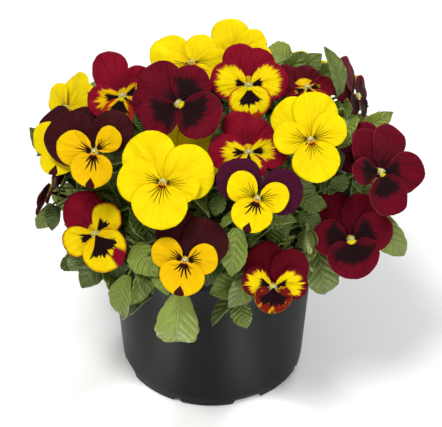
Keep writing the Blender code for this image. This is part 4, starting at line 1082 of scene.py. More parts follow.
YELLOW = (0.78, 0.63, 0.0)
YELLOW_DEEP = (0.72, 0.47, 0.0)
GOLD = (0.75, 0.48, 0.0)
GOLD_DEEP = (0.66, 0.34, 0.0)
ORANGE = (0.75, 0.3, 0.0)
MAROON = (0.042, 0.004, 0.006)
MAROON_DEEP = (0.015, 0.002, 0.003)
PLUM = (0.055, 0.004, 0.02)
PLUM_DEEP = (0.024, 0.002, 0.009)
RED = (0.125, 0.001, 0.01)
RED_DEEP = (0.036, 0.001, 0.004)
CRIMSON = (0.2, 0.002, 0.014)
CRIMSON_DEEP = (0.1, 0.001, 0.008)
DARK_CRIMSON = (0.1, 0.001, 0.007)
SCARLET = (0.34, 0.022, 0.004)
BRICK = (0.2, 0.01, 0.004)
BLACK = (0.01, 0.002, 0.003)
CREAM = (0.62, 0.52, 0.14)
PINK = (0.3, 0.03, 0.05)

# Which set of skins a bloom wears where its kind alone doesn't say it
LOOK_OF = {
    "maroon_gold_far_left": "maroon_yellow",
    "maroon_side_left": "dark_side",
    "plum_gold_middle": "plum",
    "painted_top_left": "painted_orange",
    "painted_top_right": "painted_dark",
    "painted_middle": "painted_broad",
    "painted_low_left": "painted_wedge",
    "painted_low_right": "painted_streaky",
}
PETAL_PARTS = ("back", "side", "lower")

# Whiskers on a petal: reach in bloom radii, thickness, and how many lanes half a petal has
FINE_WHISKERS = (0.4, 0.06, 4.2)
BOLD_WHISKERS = (0.38, 0.13, 3.6)


def petal_looks():
    """The skins by set and part of the bloom."""
    yellow = {"base": YELLOW, "deep": YELLOW_DEEP}
    gold = {"base": GOLD, "deep": GOLD_DEEP}
    red = {"base": RED, "deep": RED_DEEP, "sheen": 0.02, "edge": PINK, "core": 0.8}
    maroon = {"base": MAROON, "deep": MAROON_DEEP, "sheen": 0.02, "edge": (0.1, 0.01, 0.015)}
    plum = {"base": PLUM, "deep": PLUM_DEEP, "sheen": 0.02, "edge": (0.09, 0.01, 0.03)}
    crimson = {"base": CRIMSON, "deep": CRIMSON_DEEP, "sheen": 0.02}
    dark = {"base": DARK_CRIMSON, "deep": MAROON_DEEP, "sheen": 0.02}
    drop = (MAROON, 0.88, 0.12)
    sets = {
        "yellow": ({}, {"whiskers": FINE_WHISKERS},
                   {"whiskers": FINE_WHISKERS, "eye": (ORANGE, 0.15)}),
        "red": ({"blotch": (BLACK, 0.3, 0.4, 0.1)},
                {"blotch": (BLACK, 0.56, 0.8, 0.07), "eye": (CREAM, 0.08)},
                {"blotch": (BLACK, 0.6, 0.8, 0.06), "eye": (YELLOW, 0.11)}),
        "bicolour": (maroon, {**gold, "whiskers": BOLD_WHISKERS},
                     {**gold, "whiskers": BOLD_WHISKERS, "spot": drop, "eye": (ORANGE, 0.14)}),
        "maroon_yellow": (maroon, {**yellow, "whiskers": FINE_WHISKERS},
                          {**yellow, "whiskers": FINE_WHISKERS, "spot": drop}),
        "dark_side": (maroon, {**maroon, "eye": (YELLOW, 0.3)}, {**maroon, "eye": (YELLOW, 0.3)}),
        "plum": (plum, {**yellow, "whiskers": FINE_WHISKERS},
                 {**yellow, "whiskers": BOLD_WHISKERS, "spot": drop, "eye": (ORANGE, 0.12)}),
        "tricolour": ({**crimson, "eye": (GOLD, 0.24)},
                      {**yellow, "blotch": (BLACK, 0.34, 0.5, 0.02), "eye": (CREAM, 0.1),
                       "border": (CRIMSON, 0.86, 0.45)},
                      {**yellow, "blotch": (BLACK, 0.52, 0.52, 0.02), "eye": (YELLOW, 0.12),
                       "border": (SCARLET, 0.96, 0.2), "tip": (SCARLET, 0.8, 0.26, 0.0)}),
        "painted_broad": ({**crimson, "eye": (GOLD, 0.2)},
                          {**yellow, "blotch": (BLACK, 0.36, 0.45, 0.02), "eye": (CREAM, 0.1),
                           "border": (CRIMSON, 0.66, 0.55)},
                          {**yellow, "blotch": (BLACK, 0.4, 0.4, 0.02),
                           "border": (CRIMSON, 0.78, 0.4)}),
        "painted_orange": ({**crimson, "eye": (GOLD, 0.2)},
                           {**gold, "blotch": (BLACK, 0.4, 0.55, 0.03), "eye": (CREAM, 0.1),
                            "border": (CRIMSON, 0.76, 0.6), "streaks": (SCARLET, 0.6)},
                           {**gold, "blotch": (BLACK, 0.46, 0.7, 0.03), "eye": (YELLOW, 0.12),
                            "border": (SCARLET, 0.74, 0.6), "streaks": (BRICK, 0.62)}),
        "painted_dark": ({**dark, "eye": (GOLD, 0.34)},
                         {**gold, "blotch": (BLACK, 0.36, 0.6, 0.03), "eye": (CREAM, 0.1),
                          "border": (DARK_CRIMSON, 0.46, 0.5)},
                         {**gold, "blotch": (BLACK, 0.44, 0.8, 0.03), "border": (BRICK, 0.6, 0.6)}),
        "painted_wedge": ({**crimson, "eye": (GOLD, 0.24)},
                          {**gold, "base": YELLOW, "blotch": (BLACK, 0.36, 0.5, 0.02),
                           "border": (CRIMSON, 0.99, 0.12), "eye": (CREAM, 0.1)},
                          {**gold, "base": YELLOW, "blotch": (BLACK, 0.54, 0.66, 0.02),
                           "border": (CRIMSON, 1.02, 0.14), "tip": (CRIMSON, 0.64, 0.2, 0.2)}),
        "painted_streaky": ({**crimson, "base": DARK_CRIMSON},
                            {**yellow, "blotch": (BLACK, 0.38, 0.5, 0.02), "eye": (CREAM, 0.1),
                             "border": (DARK_CRIMSON, 0.84, 0.7), "streaks": (DARK_CRIMSON, 0.6)},
                            {**gold, "base": BRICK, "deep": RED_DEEP, "edge": GOLD,
                             "streaks": (GOLD_DEEP, 0.55), "blotch": (BLACK, 0.5, 0.62, 0.02)}),
    }
    looks = {}
    for name, parts in sets.items():
        whole = {"yellow": yellow, "red": red}.get(name, {})
        for part, own in zip(PETAL_PARTS, parts):
            looks[name, part] = petal_look(f"petal_{name}_{part}", **{**whole, **own})
    return looks


# Fine pieces

class Sheets:
    """Open sheets gathered into one piece; each point knows its place on its own sheet."""

    def __init__(self):
        self.points = []
        self.faces = []
        self.looks = []
        self.places = []
        self.notes = []

    def add_grid(self, rows, look, note, around_way=False):
        """rows hold (point, across, along, first note); note is the second number they carry."""
        first = len(self.points)
        width = len(rows[0])
        for row in rows:
            for point, across, along, value in row:
                self.points.append(point)
                self.places.append((across, along))
                self.notes.append((value, note))
        for index in range(len(rows) - 1):
            for column in range(width if around_way else width - 1):
                a = first + index * width + column
                b = first + index * width + (column + 1) % width
                self.faces.append((a, b, b + width, a + width))
                self.looks.append(look)

    def build(self, name, materials, thickness=0.0, smooth=180):
        mesh = bpy.data.meshes.new(name)
        mesh.from_pydata([tuple(point) for point in self.points], [], self.faces)
        for material in materials:
            mesh.materials.append(material)
        mesh.polygons.foreach_set("material_index", self.looks)
        corners = np.empty(len(mesh.loops), dtype=np.int32)
        mesh.loops.foreach_get("vertex_index", corners)
        for layer, values in (("sheet", self.places), ("petal", self.notes)):
            chart = mesh.uv_layers.new(name=layer)
            chart.uv.foreach_set("vector", np.array(values, dtype=np.float32)[corners].ravel())
        mesh.shade_smooth()
        piece = bpy.data.objects.new(name, mesh)
        bpy.context.scene.collection.objects.link(piece)
        if thickness:
            solid = piece.modifiers.new("thickness", "SOLIDIFY")
            solid.thickness = thickness
            solid.offset = 0.0
            bake(piece)
        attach(piece, "root")
        return piece


def bake(piece):
    """Keep the evaluated shape as the piece's own mesh."""
    graph = bpy.context.evaluated_depsgraph_get()
    shape = bpy.data.meshes.new_from_object(piece.evaluated_get(graph))
    piece.modifiers.clear()
    piece.data = shape


def fine_petal(bloom, role):
    """Rows of a petal's points with their place on it and distance from the throat."""
    axes = bloom_axes(bloom)
    rows = []
    for row in range(PETAL_ROWS + 1):
        along = 0.05 + 0.95 * (row / PETAL_ROWS) ** 0.9
        line = []
        for column in range(PETAL_COLUMNS + 1):
            side = column * 2 / PETAL_COLUMNS - 1
            point = petal_point(bloom, role, side, along)
            distance = math.hypot(point.x, point.y) / bloom.radius
            seed = Vector((7, 3, 1)) * (bloom.roll + bloom.radius / MM)
            folds = noise.noise(Vector((point.x, point.y, 0)) * 90 + seed)
            wrinkles = noise.noise(Vector((point.x, point.y, 0)) * 260 - seed)
            point.z += (folds * 2.0 + wrinkles * 0.5) * MM * along ** 1.5
            own = Vector((side * 2.2, bloom.petals[role][0] * 0.3, bloom.radius / MM))
            frill = noise.noise(own) * 0.045 + noise.noise(own * 4.3) * 0.02
            point.xy = point.xy * (1 + frill * along ** 3)
            across = math.sin(side * math.pi / 2)
            line.append((axes @ point, across / 2 + 0.5, along, distance))
        rows.append(line)
    return rows


def fine_tube(sheets, path, radii, sides=TUBE_SIDES, look=0, note=1.0):
    """A round closed tube along a path, its rings square to the path."""
    rows = []
    side = None
    for index, place in enumerate(path):
        ahead = path[min(index + 1, len(path) - 1)] - path[max(index - 1, 0)]
        ahead.normalize()
        if side is None:
            side = ahead.orthogonal()
        side = (side - ahead * side.dot(ahead)).normalized()
        over = ahead.cross(side)
        ring = []
        for corner in range(sides):
            angle = corner * math.tau / sides
            spoke = side * math.cos(angle) + over * math.sin(angle)
            ring.append((place + spoke * radii[index], 0.5, index / (len(path) - 1), 0.4))
        rows.append(ring)
    for at, way in ((0, -1), (len(path) - 1, 1)):
        tip = [(path[at] + (path[at] - path[at - way]).normalized() * radii[at] * 0.3, 0.5, 0.5, 0.4)] * sides
        if way < 0:
            rows.insert(0, tip)
        else:
            rows.append(tip)
    sheets.add_grid(rows, look, note, around_way=True)


def finer(path, steps):
    """A path with more points, smooth through the ones it has."""
    ends = [path[0] * 2 - path[1]] + list(path) + [path[-1] * 2 - path[-2]]
    places = []
    for index in range(1, len(ends) - 2):
        a, b, c, d = ends[index - 1:index + 3]
        for step in range(steps):
            t = step / steps
            places.append(0.5 * (2 * b + (c - a) * t + (2 * a - 5 * b + 4 * c - d) * t * t
                                 + (3 * b - a - 3 * c + d) * t ** 3))
    places.append(path[-1])
    return places


def fine_leaf(placed, tone, columns=LEAF_COLUMNS, rows=LEAF_ROWS):
    """Rows of a blade's points: scalloped edge, folded middle and sunken side veins."""
    axes = leaf_axes(placed["base"], placed["tip"], placed["turn"], placed["facing"])
    length = (placed["tip"] - placed["base"]).length
    width = placed["width"]
    made = []
    for row in range(rows + 1):
        along = row / rows
        half = width / 2 * leaf_half_width(along) * fine_tooth(along, placed["teeth"])
        half *= math.sqrt(max(1 - max((along - 0.5) / 0.5, 0.0) ** 3, 0.0004))
        rise = placed["sag"] * length * 4 * along * (1 - along)
        line = []
        for column in range(columns + 1):
            side = column * 2 / columns - 1
            wave = 0.03 * width * math.sin(along * 14 + side * 2 + tone * 9) * abs(side)
            lift = rise + abs(side) * half * 0.3 + wave
            point = axes @ Vector((side * half, along * length, lift))
            line.append((point, side / 2 + 0.5, along, tone))
        made.append(line)
    return made


def fine_tooth(along, teeth):
    """The edge's rounded teeth, which lean towards the tip; a blade of no teeth is smooth."""
    if not teeth:
        return 1.0
    place = (along * EDGE_TEETH + 0.3) % 1.0
    return 1 - EDGE_DEPTH * (1 - math.sin(math.pi * place ** 1.25) ** 0.5)


def throat_rows(bloom, sheets, look):
    """The short funnel that the petals of a bloom grow from, with a dark opening."""
    axes = bloom_axes(bloom)
    profile = ((1.2, -3.6), (1.7, -2.4), (1.5, 0.0), (1.1, 0.9), (0.8, 1.0), (0.5, 0.7), (0.1, 0.5))
    rows = []
    for radius, height in profile:
        ring = []
        for corner in range(16):
            angle = corner * math.tau / 16
            place = Vector((radius * math.cos(angle), radius * math.sin(angle), height)) * MM
            ring.append((axes @ place, 0.5, 0.5, radius / 2.1))
        rows.append(ring)
    sheets.add_grid(rows, look, 0.5, around_way=True)


def stigma(bloom, sheets, look):
    """The pale knob that closes the throat, and the short hairs beside it."""
    axes = bloom_axes(bloom)
    path = [axes @ Vector((0, 0.3 * MM, height * MM)) for height in (0.3, 1.0, 1.5)]
    fine_tube(sheets, path, [0.3 * MM, 0.5 * MM, 0.4 * MM], 8, look)
    draw = random.Random(bloom.name)
    for side in (-1, 1):
        for index in range(HAIRS):
            down = index / (HAIRS - 1)
            foot = Vector((side * (0.5 + 1.1 * down), 1.3 - 2.4 * down, 0.8)) * MM
            lean = Vector((-side * draw.uniform(0.0, 0.5), draw.uniform(-0.2, 0.3), draw.uniform(0.6, 1.1))) * MM
            path = [axes @ foot, axes @ (foot + lean * 0.6), axes @ (foot + lean)]
            fine_tube(sheets, path, [0.22 * MM, 0.18 * MM, 0.06 * MM], 5, look)


def spur_rows(bloom, sheets, look):
    axes = bloom_axes(bloom)
    places = [(0, -1.9, 0.4), (0, -2.3, -3.0), (0, -2.7, -6.0), (0, -2.4, -8.6)]
    path = [axes @ (Vector(place) * MM) for place in places]
    fine_tube(sheets, finer(path, 3), [MM * (1.25 - 0.05 * step) for step in range(10)], 8, look)


ROLE_LOOKS = {"dorsal_left": "back", "dorsal_right": "back", "lateral_left": "side",
              "lateral_right": "side", "lower": "lower"}
SLOTS = {"yellow": ("yellow", "yellow"), "red": ("dark_red", "dark_red"),
         "bicolour": ("maroon", "golden"), "tricolour": ("crimson", "golden")}


def dress_bloom(bloom, looks, throat_look, knob_look):
    """One piece for a bloom of one colour, two for one whose back petals differ."""
    back_slot, front_slot = SLOTS[bloom.kind]
    groups = [("", front_slot, BACK_PETALS + FRONT_PETALS)]
    if back_slot != front_slot:
        groups = [("_back", back_slot, BACK_PETALS), ("_front", front_slot, FRONT_PETALS)]
    draw = random.Random(bloom.name)
    for ending, slot, roles in groups:
        name = f"bloom_{bloom.name}{ending}"
        sheets = Sheets()
        own = [looks[LOOK_OF.get(bloom.name, bloom.kind), part] for part in PETAL_PARTS]
        own += [throat_look, knob_look]
        for role in roles:
            if role not in bloom.petals:
                continue
            number = PETAL_PARTS.index(ROLE_LOOKS[role])
            sheets.add_grid(fine_petal(bloom, role), number, draw.random())
        petals = sheets.build(f"dressed_{name}", own, PETAL_THICKNESS)
        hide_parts(name)
        if ending == "_back":
            continue
        heart = Sheets()
        throat_rows(bloom, heart, 0)
        stigma(bloom, heart, 1)
        spur_rows(bloom, heart, 2)
        middle = heart.build(f"throat_{bloom.name}", [throat_look, knob_look, own[2]])


def sepal_rows(bloom, degrees, tone):
    """A narrow pointed sepal from behind the bloom's hub to its tip."""
    axes = bloom_axes(bloom)
    angle = math.radians(degrees)
    ahead = Vector((math.cos(angle), math.sin(angle), 0))
    across = Vector((-math.sin(angle), math.cos(angle), 0))
    rows = []
    for row in range(9):
        along = row / 8
        half = 1.45 * math.sin(math.pi * (0.16 + 0.8 * along)) ** 0.8
        line = []
        for side in (-1, -0.5, 0, 0.5, 1):
            reach = 0.4 + 8.4 * along
            height = -4.8 - 1.4 * along ** 1.5 - abs(side) * half * 0.25
            place = ahead * reach + across * half * side + Vector((0, 1.2, height))
            line.append((axes @ (place * MM), side / 2 + 0.5, along, tone))
        rows.append(line)
    return rows


def dress_stems(stems, stalks, leaves, blades_of, leaf_looks, stem_skin):
    """For each stem node one piece: the stem, its stalks and sepals, and its leaves."""
    draw = random.Random(LEAF_SEED)
    for name, path in stems.items():
        sheets = Sheets()
        line = finer(path, 5)
        radii = [STEM_RADIUS * (0.9 - 0.25 * index / (len(line) - 1)) for index in range(len(line))]
        fine_tube(sheets, line, radii, 10, 0, draw.random())
        for bloom in BLOOMS:
            if bloom.stem != name:
                continue
            stalk = list(stalks[bloom.name])
            out = bloom_axes(bloom).to_3x3() @ Vector((0, 0, 1))
            stalk[-1] = stalk[-1] + out * 0.8 * MM
            line = finer(stalk, 6)
            thin = STALK_RADIUS * 0.72
            radii = [thin * (1.0 + 0.9 * max(0.0, index / (len(line) - 1) - 0.85) / 0.15)
                     for index in range(len(line))]
            fine_tube(sheets, line, radii, 8, 0, draw.random())
        for placed in leaves:
            if placed["node"] != name:
                continue
            line = finer(list(placed["path"]), 6)
            radii = [PETIOLE_RADIUS * (0.75 - 0.2 * index / (len(line) - 1)) for index in range(len(line))]
            fine_tube(sheets, line, radii, 6, 0, draw.random())
        piece = sheets.build(f"dressed_{name}", [stem_skin])
        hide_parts(name)
        blades = Sheets()
        for bloom in BLOOMS:
            if bloom.stem == name:
                for degrees in SEPAL_ANGLES[::2]:
                    blades.add_grid(sepal_rows(bloom, degrees, draw.random()), 0, 0.0)
        for placed in leaves:
            if placed["node"] == name:
                look = 2 if draw.random() < 0.25 else 1
                blades.add_grid(fine_leaf(placed, draw.random()), look, 0.0)
        for placed in blades_of:
            if placed["node"] == name:
                look = 2 if draw.random() < 0.55 else 1
                rows = fine_leaf(placed, draw.random(), TUFT_COLUMNS, TUFT_ROWS)
                blades.add_grid(rows, look, 0.0)
        for bud in BUDS:
            if bud[0] == name:
                add_bud(blades, stems, bud)
        piece = blades.build(f"leaves_of_{name}", leaf_looks, LEAF_THICKNESS)
        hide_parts(name)


def fill_foliage(stems, stalks, leaves):
    """More leaves among the placed ones, inside the plant and on its unseen side."""
    draw = random.Random(FILL_SEED)
    space = Space()
    fill_with_pot(space)
    fill_with_blooms(space)
    for name, path in stems.items():
        space.add(name, *fat_tube(path, STEM_RADIUS + 0.5 * MM))
    for bloom in BLOOMS:
        space.add(bloom.stem, *fat_tube(stalks[bloom.name][:-1], STALK_RADIUS + 0.5 * MM))
    for placed in leaves:
        keep(placed, space)
    names = list(SPARE_STEMS) * 2 + list(STEMS)
    more = []
    for leaf in MORE_LEAVES:
        placed = place_shown_leaf(leaf, stems, space, draw)
        if placed:
            keep(placed, space)
            more.append(placed)
    for index in range(FILL_LEAVES):
        node = names[index % len(names)]
        placed = place_spare_leaf(node, stems[node], space, draw)
        if placed:
            keep(placed, space)
            more.append(placed)
    return more


def obstacles():
    """The blooms and the pot as one tree, for blades that must stay clear of them."""
    space = Space()
    fill_with_pot(space)
    fill_with_blooms(space)
    return [tree for _, tree in space.taken]


def place_tuft_blade(node, start, trees, draw):
    """A narrow blade that springs from a stem, where it meets no bloom."""
    for _ in range(6):
        turn = draw.uniform(0, math.tau)
        away = Vector((math.cos(turn), math.sin(turn), draw.uniform(-0.2, 1.6))).normalized()
        base = start + away * STEM_RADIUS * 0.6
        ahead = (away + Vector((0, 0, draw.uniform(-0.6, 0.3)))).normalized()
        length = draw.uniform(11, 26) * MM
        tip = base + ahead * length
        if not inside_crown(tip, 0.86 if tip.y < 0 else 0.98):
            continue
        spots = [base.lerp(tip, share) for share in (0.3, 0.55, 0.8, 1.0)]
        if any(tree.find_nearest(spot, 2.2 * MM)[0] for spot in spots for tree in trees):
            continue
        return {"node": node, "base": base, "tip": tip, "width": length * draw.uniform(0.2, 0.34),
                "turn": draw.uniform(-0.5, 0.5), "sag": draw.uniform(0.05, 0.2),
                "facing": Vector((away.x, away.y, 1.2)), "teeth": 0}
    return None


def tufts(stems, stalks):
    """Narrow leaflets in rings along every stem, which fill the plant's inside."""
    draw = random.Random(FILL_SEED)
    trees = obstacles()
    made = []
    runs = [(name, path, TUFT_PLACES, TUFT_BLADES, 1.0) for name, path in stems.items()]
    runs += [(bloom.stem, stalks[bloom.name], STALK_TUFT_PLACES, STALK_TUFT_BLADES, STALK_TUFT_WIDTH)
             for bloom in BLOOMS]
    for name, path, places, count, wider in runs:
        for share in places:
            start = point_along(path, share)
            for _ in range(count):
                placed = place_tuft_blade(name, start, trees, draw)
                if placed:
                    placed["width"] *= wider
                    made.append(placed)
    return made


def add_bud(sheets, stems, bud):
    """A closed bud that nods from a bent stalk, with sepals pressed to it."""
    name, top_px, tip_px, forward, radius = bud
    top = seen_at(top_px, -forward * MM)
    tip = seen_at(tip_px, -(forward + 2) * MM)
    start = point_along(stems[name], 0.75)
    over = top + Vector((0, 1, 5)) * MM
    stalk = smooth_path(start, start.lerp(over, 0.5) + Vector((0, 0, 6 * MM)), over, top, 10)
    fine_tube(sheets, finer(stalk, 3), [0.6 * MM] * ((len(stalk) - 1) * 3 + 1), 6, 1, 0.7)
    count = len(BUD_PROFILE)
    body = [top.lerp(tip, index / (count - 1)) for index in range(count)]
    fine_tube(sheets, finer(body, 2), [radius * MM * BUD_PROFILE[index // 2]
                                       for index in range(2 * count - 1)], 12, 2, 0.9)
    ahead = (tip - top).normalized()
    side = ahead.orthogonal()
    for turn in range(5):
        out = Matrix.Rotation(turn * math.tau / 5, 3, ahead) @ side
        base = top + out * radius * 0.4 * MM
        end = top.lerp(tip, 0.75) + out * radius * 1.05 * MM
        placed = {"base": base, "tip": end, "turn": 0.0, "facing": out, "sag": 0.14,
                  "width": radius * 1.3 * MM, "teeth": 0}
        sheets.add_grid(fine_leaf(placed, 0.3, TUFT_COLUMNS, TUFT_ROWS), 1, 0.0)


def fine_pot(look):
    """The pot again with a round wall, soft edges and the drain notches cut through it."""
    band_foot = POT_HEIGHT - RIM_BAND
    soft = 0.35 * MM
    outline = [
        (0.0, FLOOR),
        (wall_radius(FLOOR) - WALL - 2 * MM, FLOOR),
        (wall_radius(FLOOR) - WALL, FLOOR + 2 * MM),
        (wall_radius(band_foot) - WALL, band_foot),
        (wall_radius(POT_HEIGHT) - WALL, POT_HEIGHT - soft),
        (wall_radius(POT_HEIGHT) - WALL + soft, POT_HEIGHT),
        (wall_radius(POT_HEIGHT) + RIM_STEP - soft, POT_HEIGHT),
        (wall_radius(POT_HEIGHT) + RIM_STEP, POT_HEIGHT - soft),
        (wall_radius(band_foot) + RIM_STEP, band_foot + soft),
        (wall_radius(band_foot) + RIM_STEP - soft, band_foot),
        (wall_radius(band_foot), band_foot - RIM_STEP),
        *((wall_radius(height * MM), height * MM) for height in (64, 46, 28, 14, 7)),
        (wall_radius(4 * MM), 4 * MM),
        (wall_radius(4 * MM) - 0.25 * MM, 3.7 * MM),
        (wall_radius(FOOT_BEVEL) - 0.25 * MM, FOOT_BEVEL),
        (wall_radius(0.0) - FOOT_BEVEL, 0.0),
        (0.0, 0.0),
    ]
    mesh = bpy.data.meshes.new("dressed_pot")
    points = [(radius, 0.0, height) for radius, height in outline]
    mesh.from_pydata(points, [(i, i + 1) for i in range(len(points) - 1)], [])
    pot = bpy.data.objects.new("dressed_pot", mesh)
    bpy.context.scene.collection.objects.link(pot)
    screw = pot.modifiers.new("turn", "SCREW")
    screw.steps = 144
    screw.render_steps = 144
    screw.use_merge_vertices = True
    screw.merge_threshold = 0.00001
    bake(pot)
    cutters = [notch_shape(index) for index in range(NOTCH_COUNT)]
    for cutter in cutters:
        cut = pot.modifiers.new(cutter.name, "BOOLEAN")
        cut.operation = "DIFFERENCE"
        cut.object = cutter
        cut.solver = "EXACT"
    bake(pot)
    for cutter in cutters:
        bpy.data.objects.remove(cutter)
    pot.data.materials.clear()
    pot.data.materials.append(look)
    pot.data.shade_smooth()
    pot.data.set_sharp_from_angle(angle=math.radians(38))
    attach(pot, "root")
    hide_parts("pot")


def notch_shape(index):
    """A wedge through wall and floor corner, wider at the foot."""
    height, foot_width, top_width = NARROW_NOTCH if index % 2 else WIDE_NOTCH
    turn = Matrix.Rotation((index + 0.5) * math.tau / NOTCH_COUNT + math.pi, 3, "Z")
    points = []
    for x in (FOOT_RADIUS - NOTCH_DEPTH, FOOT_RADIUS + NOTCH_PROUD):
        for half, z in ((foot_width / 2, -NOTCH_BELOW), (top_width / 2, height)):
            points += [turn @ Vector((x, -half, z)), turn @ Vector((x, half, z))]
    faces = [(0, 1, 3, 2), (4, 6, 7, 5), (0, 4, 5, 1), (2, 3, 7, 6), (0, 2, 6, 4), (1, 5, 7, 3)]
    mesh = bpy.data.meshes.new(f"notch_{index}")
    mesh.from_pydata([tuple(point) for point in points], [], faces)
    shape = bmesh.new()
    shape.from_mesh(mesh)
    bmesh.ops.recalc_face_normals(shape, faces=shape.faces)
    shape.to_mesh(mesh)
    shape.free()
    cutter = bpy.data.objects.new(f"notch_{index}", mesh)
    bpy.context.scene.collection.objects.link(cutter)
    return cutter


def fine_soil(look):
    """The soil's lumpy top with crumbs on it, and its sides down to the floor."""
    top_radius = wall_radius(SOIL_TOP) - WALL - GAP
    foot = FLOOR + GAP
    foot_radius = wall_radius(foot) - WALL - GAP
    points = []
    faces = []
    rings, steps = 44, 120
    for ring in range(rings + 1):
        for step in range(steps):
            angle = step * math.tau / steps
            reach = top_radius * (ring + 0.02) / (rings + 0.02)
            x, y = reach * math.cos(angle), reach * math.sin(angle)
            rough = noise.fractal(Vector((x, y, 0)) * 260, 0.8, 2.0, 4) * 1.1 * MM
            points.append((x, y, soil_height(x, y) + rough - 0.6 * MM))
    for step in range(steps):
        angle = step * math.tau / steps
        points.append((foot_radius * math.cos(angle), foot_radius * math.sin(angle), foot))
    for ring in range(rings + 1):
        for step in range(steps):
            a = ring * steps + step
            b = ring * steps + (step + 1) % steps
            faces.append((a, a + steps, b + steps, b))
    points += [(0, 0, soil_height(0, 0)), (0, 0, foot)]
    centre, below = len(points) - 2, len(points) - 1
    last = (rings + 1) * steps
    for step in range(steps):
        faces.append((centre, step, (step + 1) % steps))
        faces.append((below, last + (step + 1) % steps, last + step))
    mesh = bpy.data.meshes.new("dressed_soil")
    mesh.from_pydata(points, [], faces)
    shape = bmesh.new()
    shape.from_mesh(mesh)
    draw = random.Random(3)
    for _ in range(CRUMBS):
        reach = top_radius * math.sqrt(draw.random()) * 0.97
        angle = draw.uniform(0, math.tau)
        x, y = reach * math.cos(angle), reach * math.sin(angle)
        size = draw.uniform(0.5, 1.5) * MM
        turn = Matrix.Rotation(draw.uniform(0, 6), 4, Vector((draw.random(), draw.random(), 0.3)))
        where = Matrix.Translation((x, y, soil_height(x, y) - 0.2 * MM))
        stretch = Matrix.Diagonal((draw.uniform(0.7, 1.6), 1, draw.uniform(0.6, 1), 1))
        bmesh.ops.create_icosphere(shape, subdivisions=1, radius=size, matrix=where @ turn @ stretch)
    shape.to_mesh(mesh)
    shape.free()
    mesh.materials.append(look)
    mesh.shade_smooth()
    soil = bpy.data.objects.new("dressed_soil", mesh)
    bpy.context.scene.collection.objects.link(soil)
    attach(soil, "root")
    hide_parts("soil")


# Floor, light and camera

def build_stage():
    mesh = bpy.data.meshes.new("floor")
    half = 3.0
    mesh.from_pydata([(-half, -half, 0), (half, -half, 0), (half, half, 0), (-half, half, 0)], [], [(0, 1, 2, 3)])
    floor = bpy.data.objects.new("floor", mesh)
    bpy.context.scene.collection.objects.link(floor)
    s = Shader("floor_paper")
    where = s.add("ShaderNodeTexCoord").outputs["Object"]
    s.set("Base Color", s.mix(s.noise(where, 3.0), (0.9, 0.9, 0.9), (0.93, 0.93, 0.93)))
    s.set("Roughness", 0.9)
    mesh.materials.append(s.material)


def lamp(name, place, aim, size, watts, colour=(1, 1, 1)):
    light = bpy.data.lights.new(name, "AREA")
    light.shape = "DISK"
    light.size = size
    light.energy = watts
    light.color = colour
    made = bpy.data.objects.new(name, light)
    bpy.context.scene.collection.objects.link(made)
    made.location = place
    made.rotation_euler = (Vector(aim) - Vector(place)).to_track_quat("-Z", "Y").to_euler()


def beam(name, place, aim, degrees, watts):
    """A narrow soft beam; on the floor beside the pot it gives the wall an upright gleam."""
    light = bpy.data.lights.new(name, "SPOT")
    light.energy = watts
    light.spot_size = math.radians(degrees)
    light.spot_blend = 1.0
    light.shadow_soft_size = 0.01
    made = bpy.data.objects.new(name, light)
    bpy.context.scene.collection.objects.link(made)
    made.location = place
    made.rotation_euler = (aim - place).to_track_quat("-Z", "Y").to_euler()


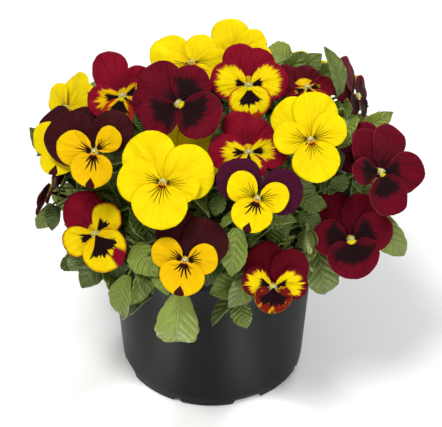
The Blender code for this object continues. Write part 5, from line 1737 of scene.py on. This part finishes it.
def build_light():
    world = bpy.data.worlds.new("studio")
    world.use_nodes = True
    world.node_tree.nodes["Background"].inputs[0].default_value = (1.0, 1.0, 1.0, 1.0)
    world.node_tree.nodes["Background"].inputs[1].default_value = 0.5
    bpy.context.scene.world = world
    bpy.context.scene.view_settings.view_transform = "Standard"
    middle = (0, 0, 0.1)
    lamp("key", (-0.45, -0.8, 1.9), middle, 0.6, 28, (1.0, 0.985, 0.96))
    lamp("fill", (1.0, -0.9, 0.9), middle, 0.9, 7, (0.96, 0.98, 1.0))
    lamp("back", (0.5, 1.2, 1.2), middle, 0.6, 9)
    for name, azimuth in (("low_left", -40), ("low_right", 25)):
        angle = math.radians(azimuth)
        out = Vector((math.sin(angle), -math.cos(angle), 0))
        beam(name, out * 0.32 + Vector((0, 0, 0.1)), out * 0.11, 11, 30)


def build_camera():
    back = Vector((0, -math.cos(VIEW_LIFT), math.sin(VIEW_LIFT)))
    view = bpy.data.cameras.new("view")
    view.sensor_width = SENSOR
    view.lens = VIEW_FOCUS * SENSOR / PICTURE_WIDTH
    view.clip_start = 0.05
    view.clip_end = 20
    camera = bpy.data.objects.new("view", view)
    bpy.context.scene.collection.objects.link(camera)
    camera.location = VIEW_TARGET + back * VIEW_DISTANCE
    camera.rotation_euler = (-back).to_track_quat("-Z", "Y").to_euler()
    bpy.context.scene.camera = camera


def main():
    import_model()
    stems, stalks, leaves = arrange()
    looks = petal_looks()
    throat_look = plain_look("throat_gold", (0.6, 0.5, 0.03), (0.45, 0.3, 0.02), 900, 0.5, 0.05 * MM)
    knob_look = plain_look("stigma_cream", (0.8, 0.78, 0.5), (0.62, 0.7, 0.3), 1200, 0.5, 0.02 * MM)
    for bloom in BLOOMS:
        dress_bloom(bloom, looks, throat_look, knob_look)
    leaf_looks = [
        leaf_look("sepal_green", (0.13, 0.2, 0.025), (0.07, 0.13, 0.018), (0.24, 0.3, 0.09), 0.5, 0.5),
        leaf_look("leaf_green", (0.125, 0.18, 0.024), (0.04, 0.07, 0.01), (0.24, 0.28, 0.08), 0.3, 1.4),
        leaf_look("leaf_light", (0.23, 0.3, 0.036), (0.13, 0.19, 0.022), (0.36, 0.41, 0.13), 0.34, 1.4),
    ]
    stem_skin = plain_look("stem_skin", (0.17, 0.27, 0.04), (0.1, 0.18, 0.025), 260, 0.5, 0.05 * MM)
    more = fill_foliage(stems, stalks, leaves)
    small = tufts(stems, stalks)
    print("added leaves:", len(more), "blades:", len(small))
    dress_stems(stems, stalks, leaves + more, small, leaf_looks, stem_skin)
    fine_pot(pot_look())
    fine_soil(soil_look())
    build_stage()
    build_light()
    build_camera()


main()
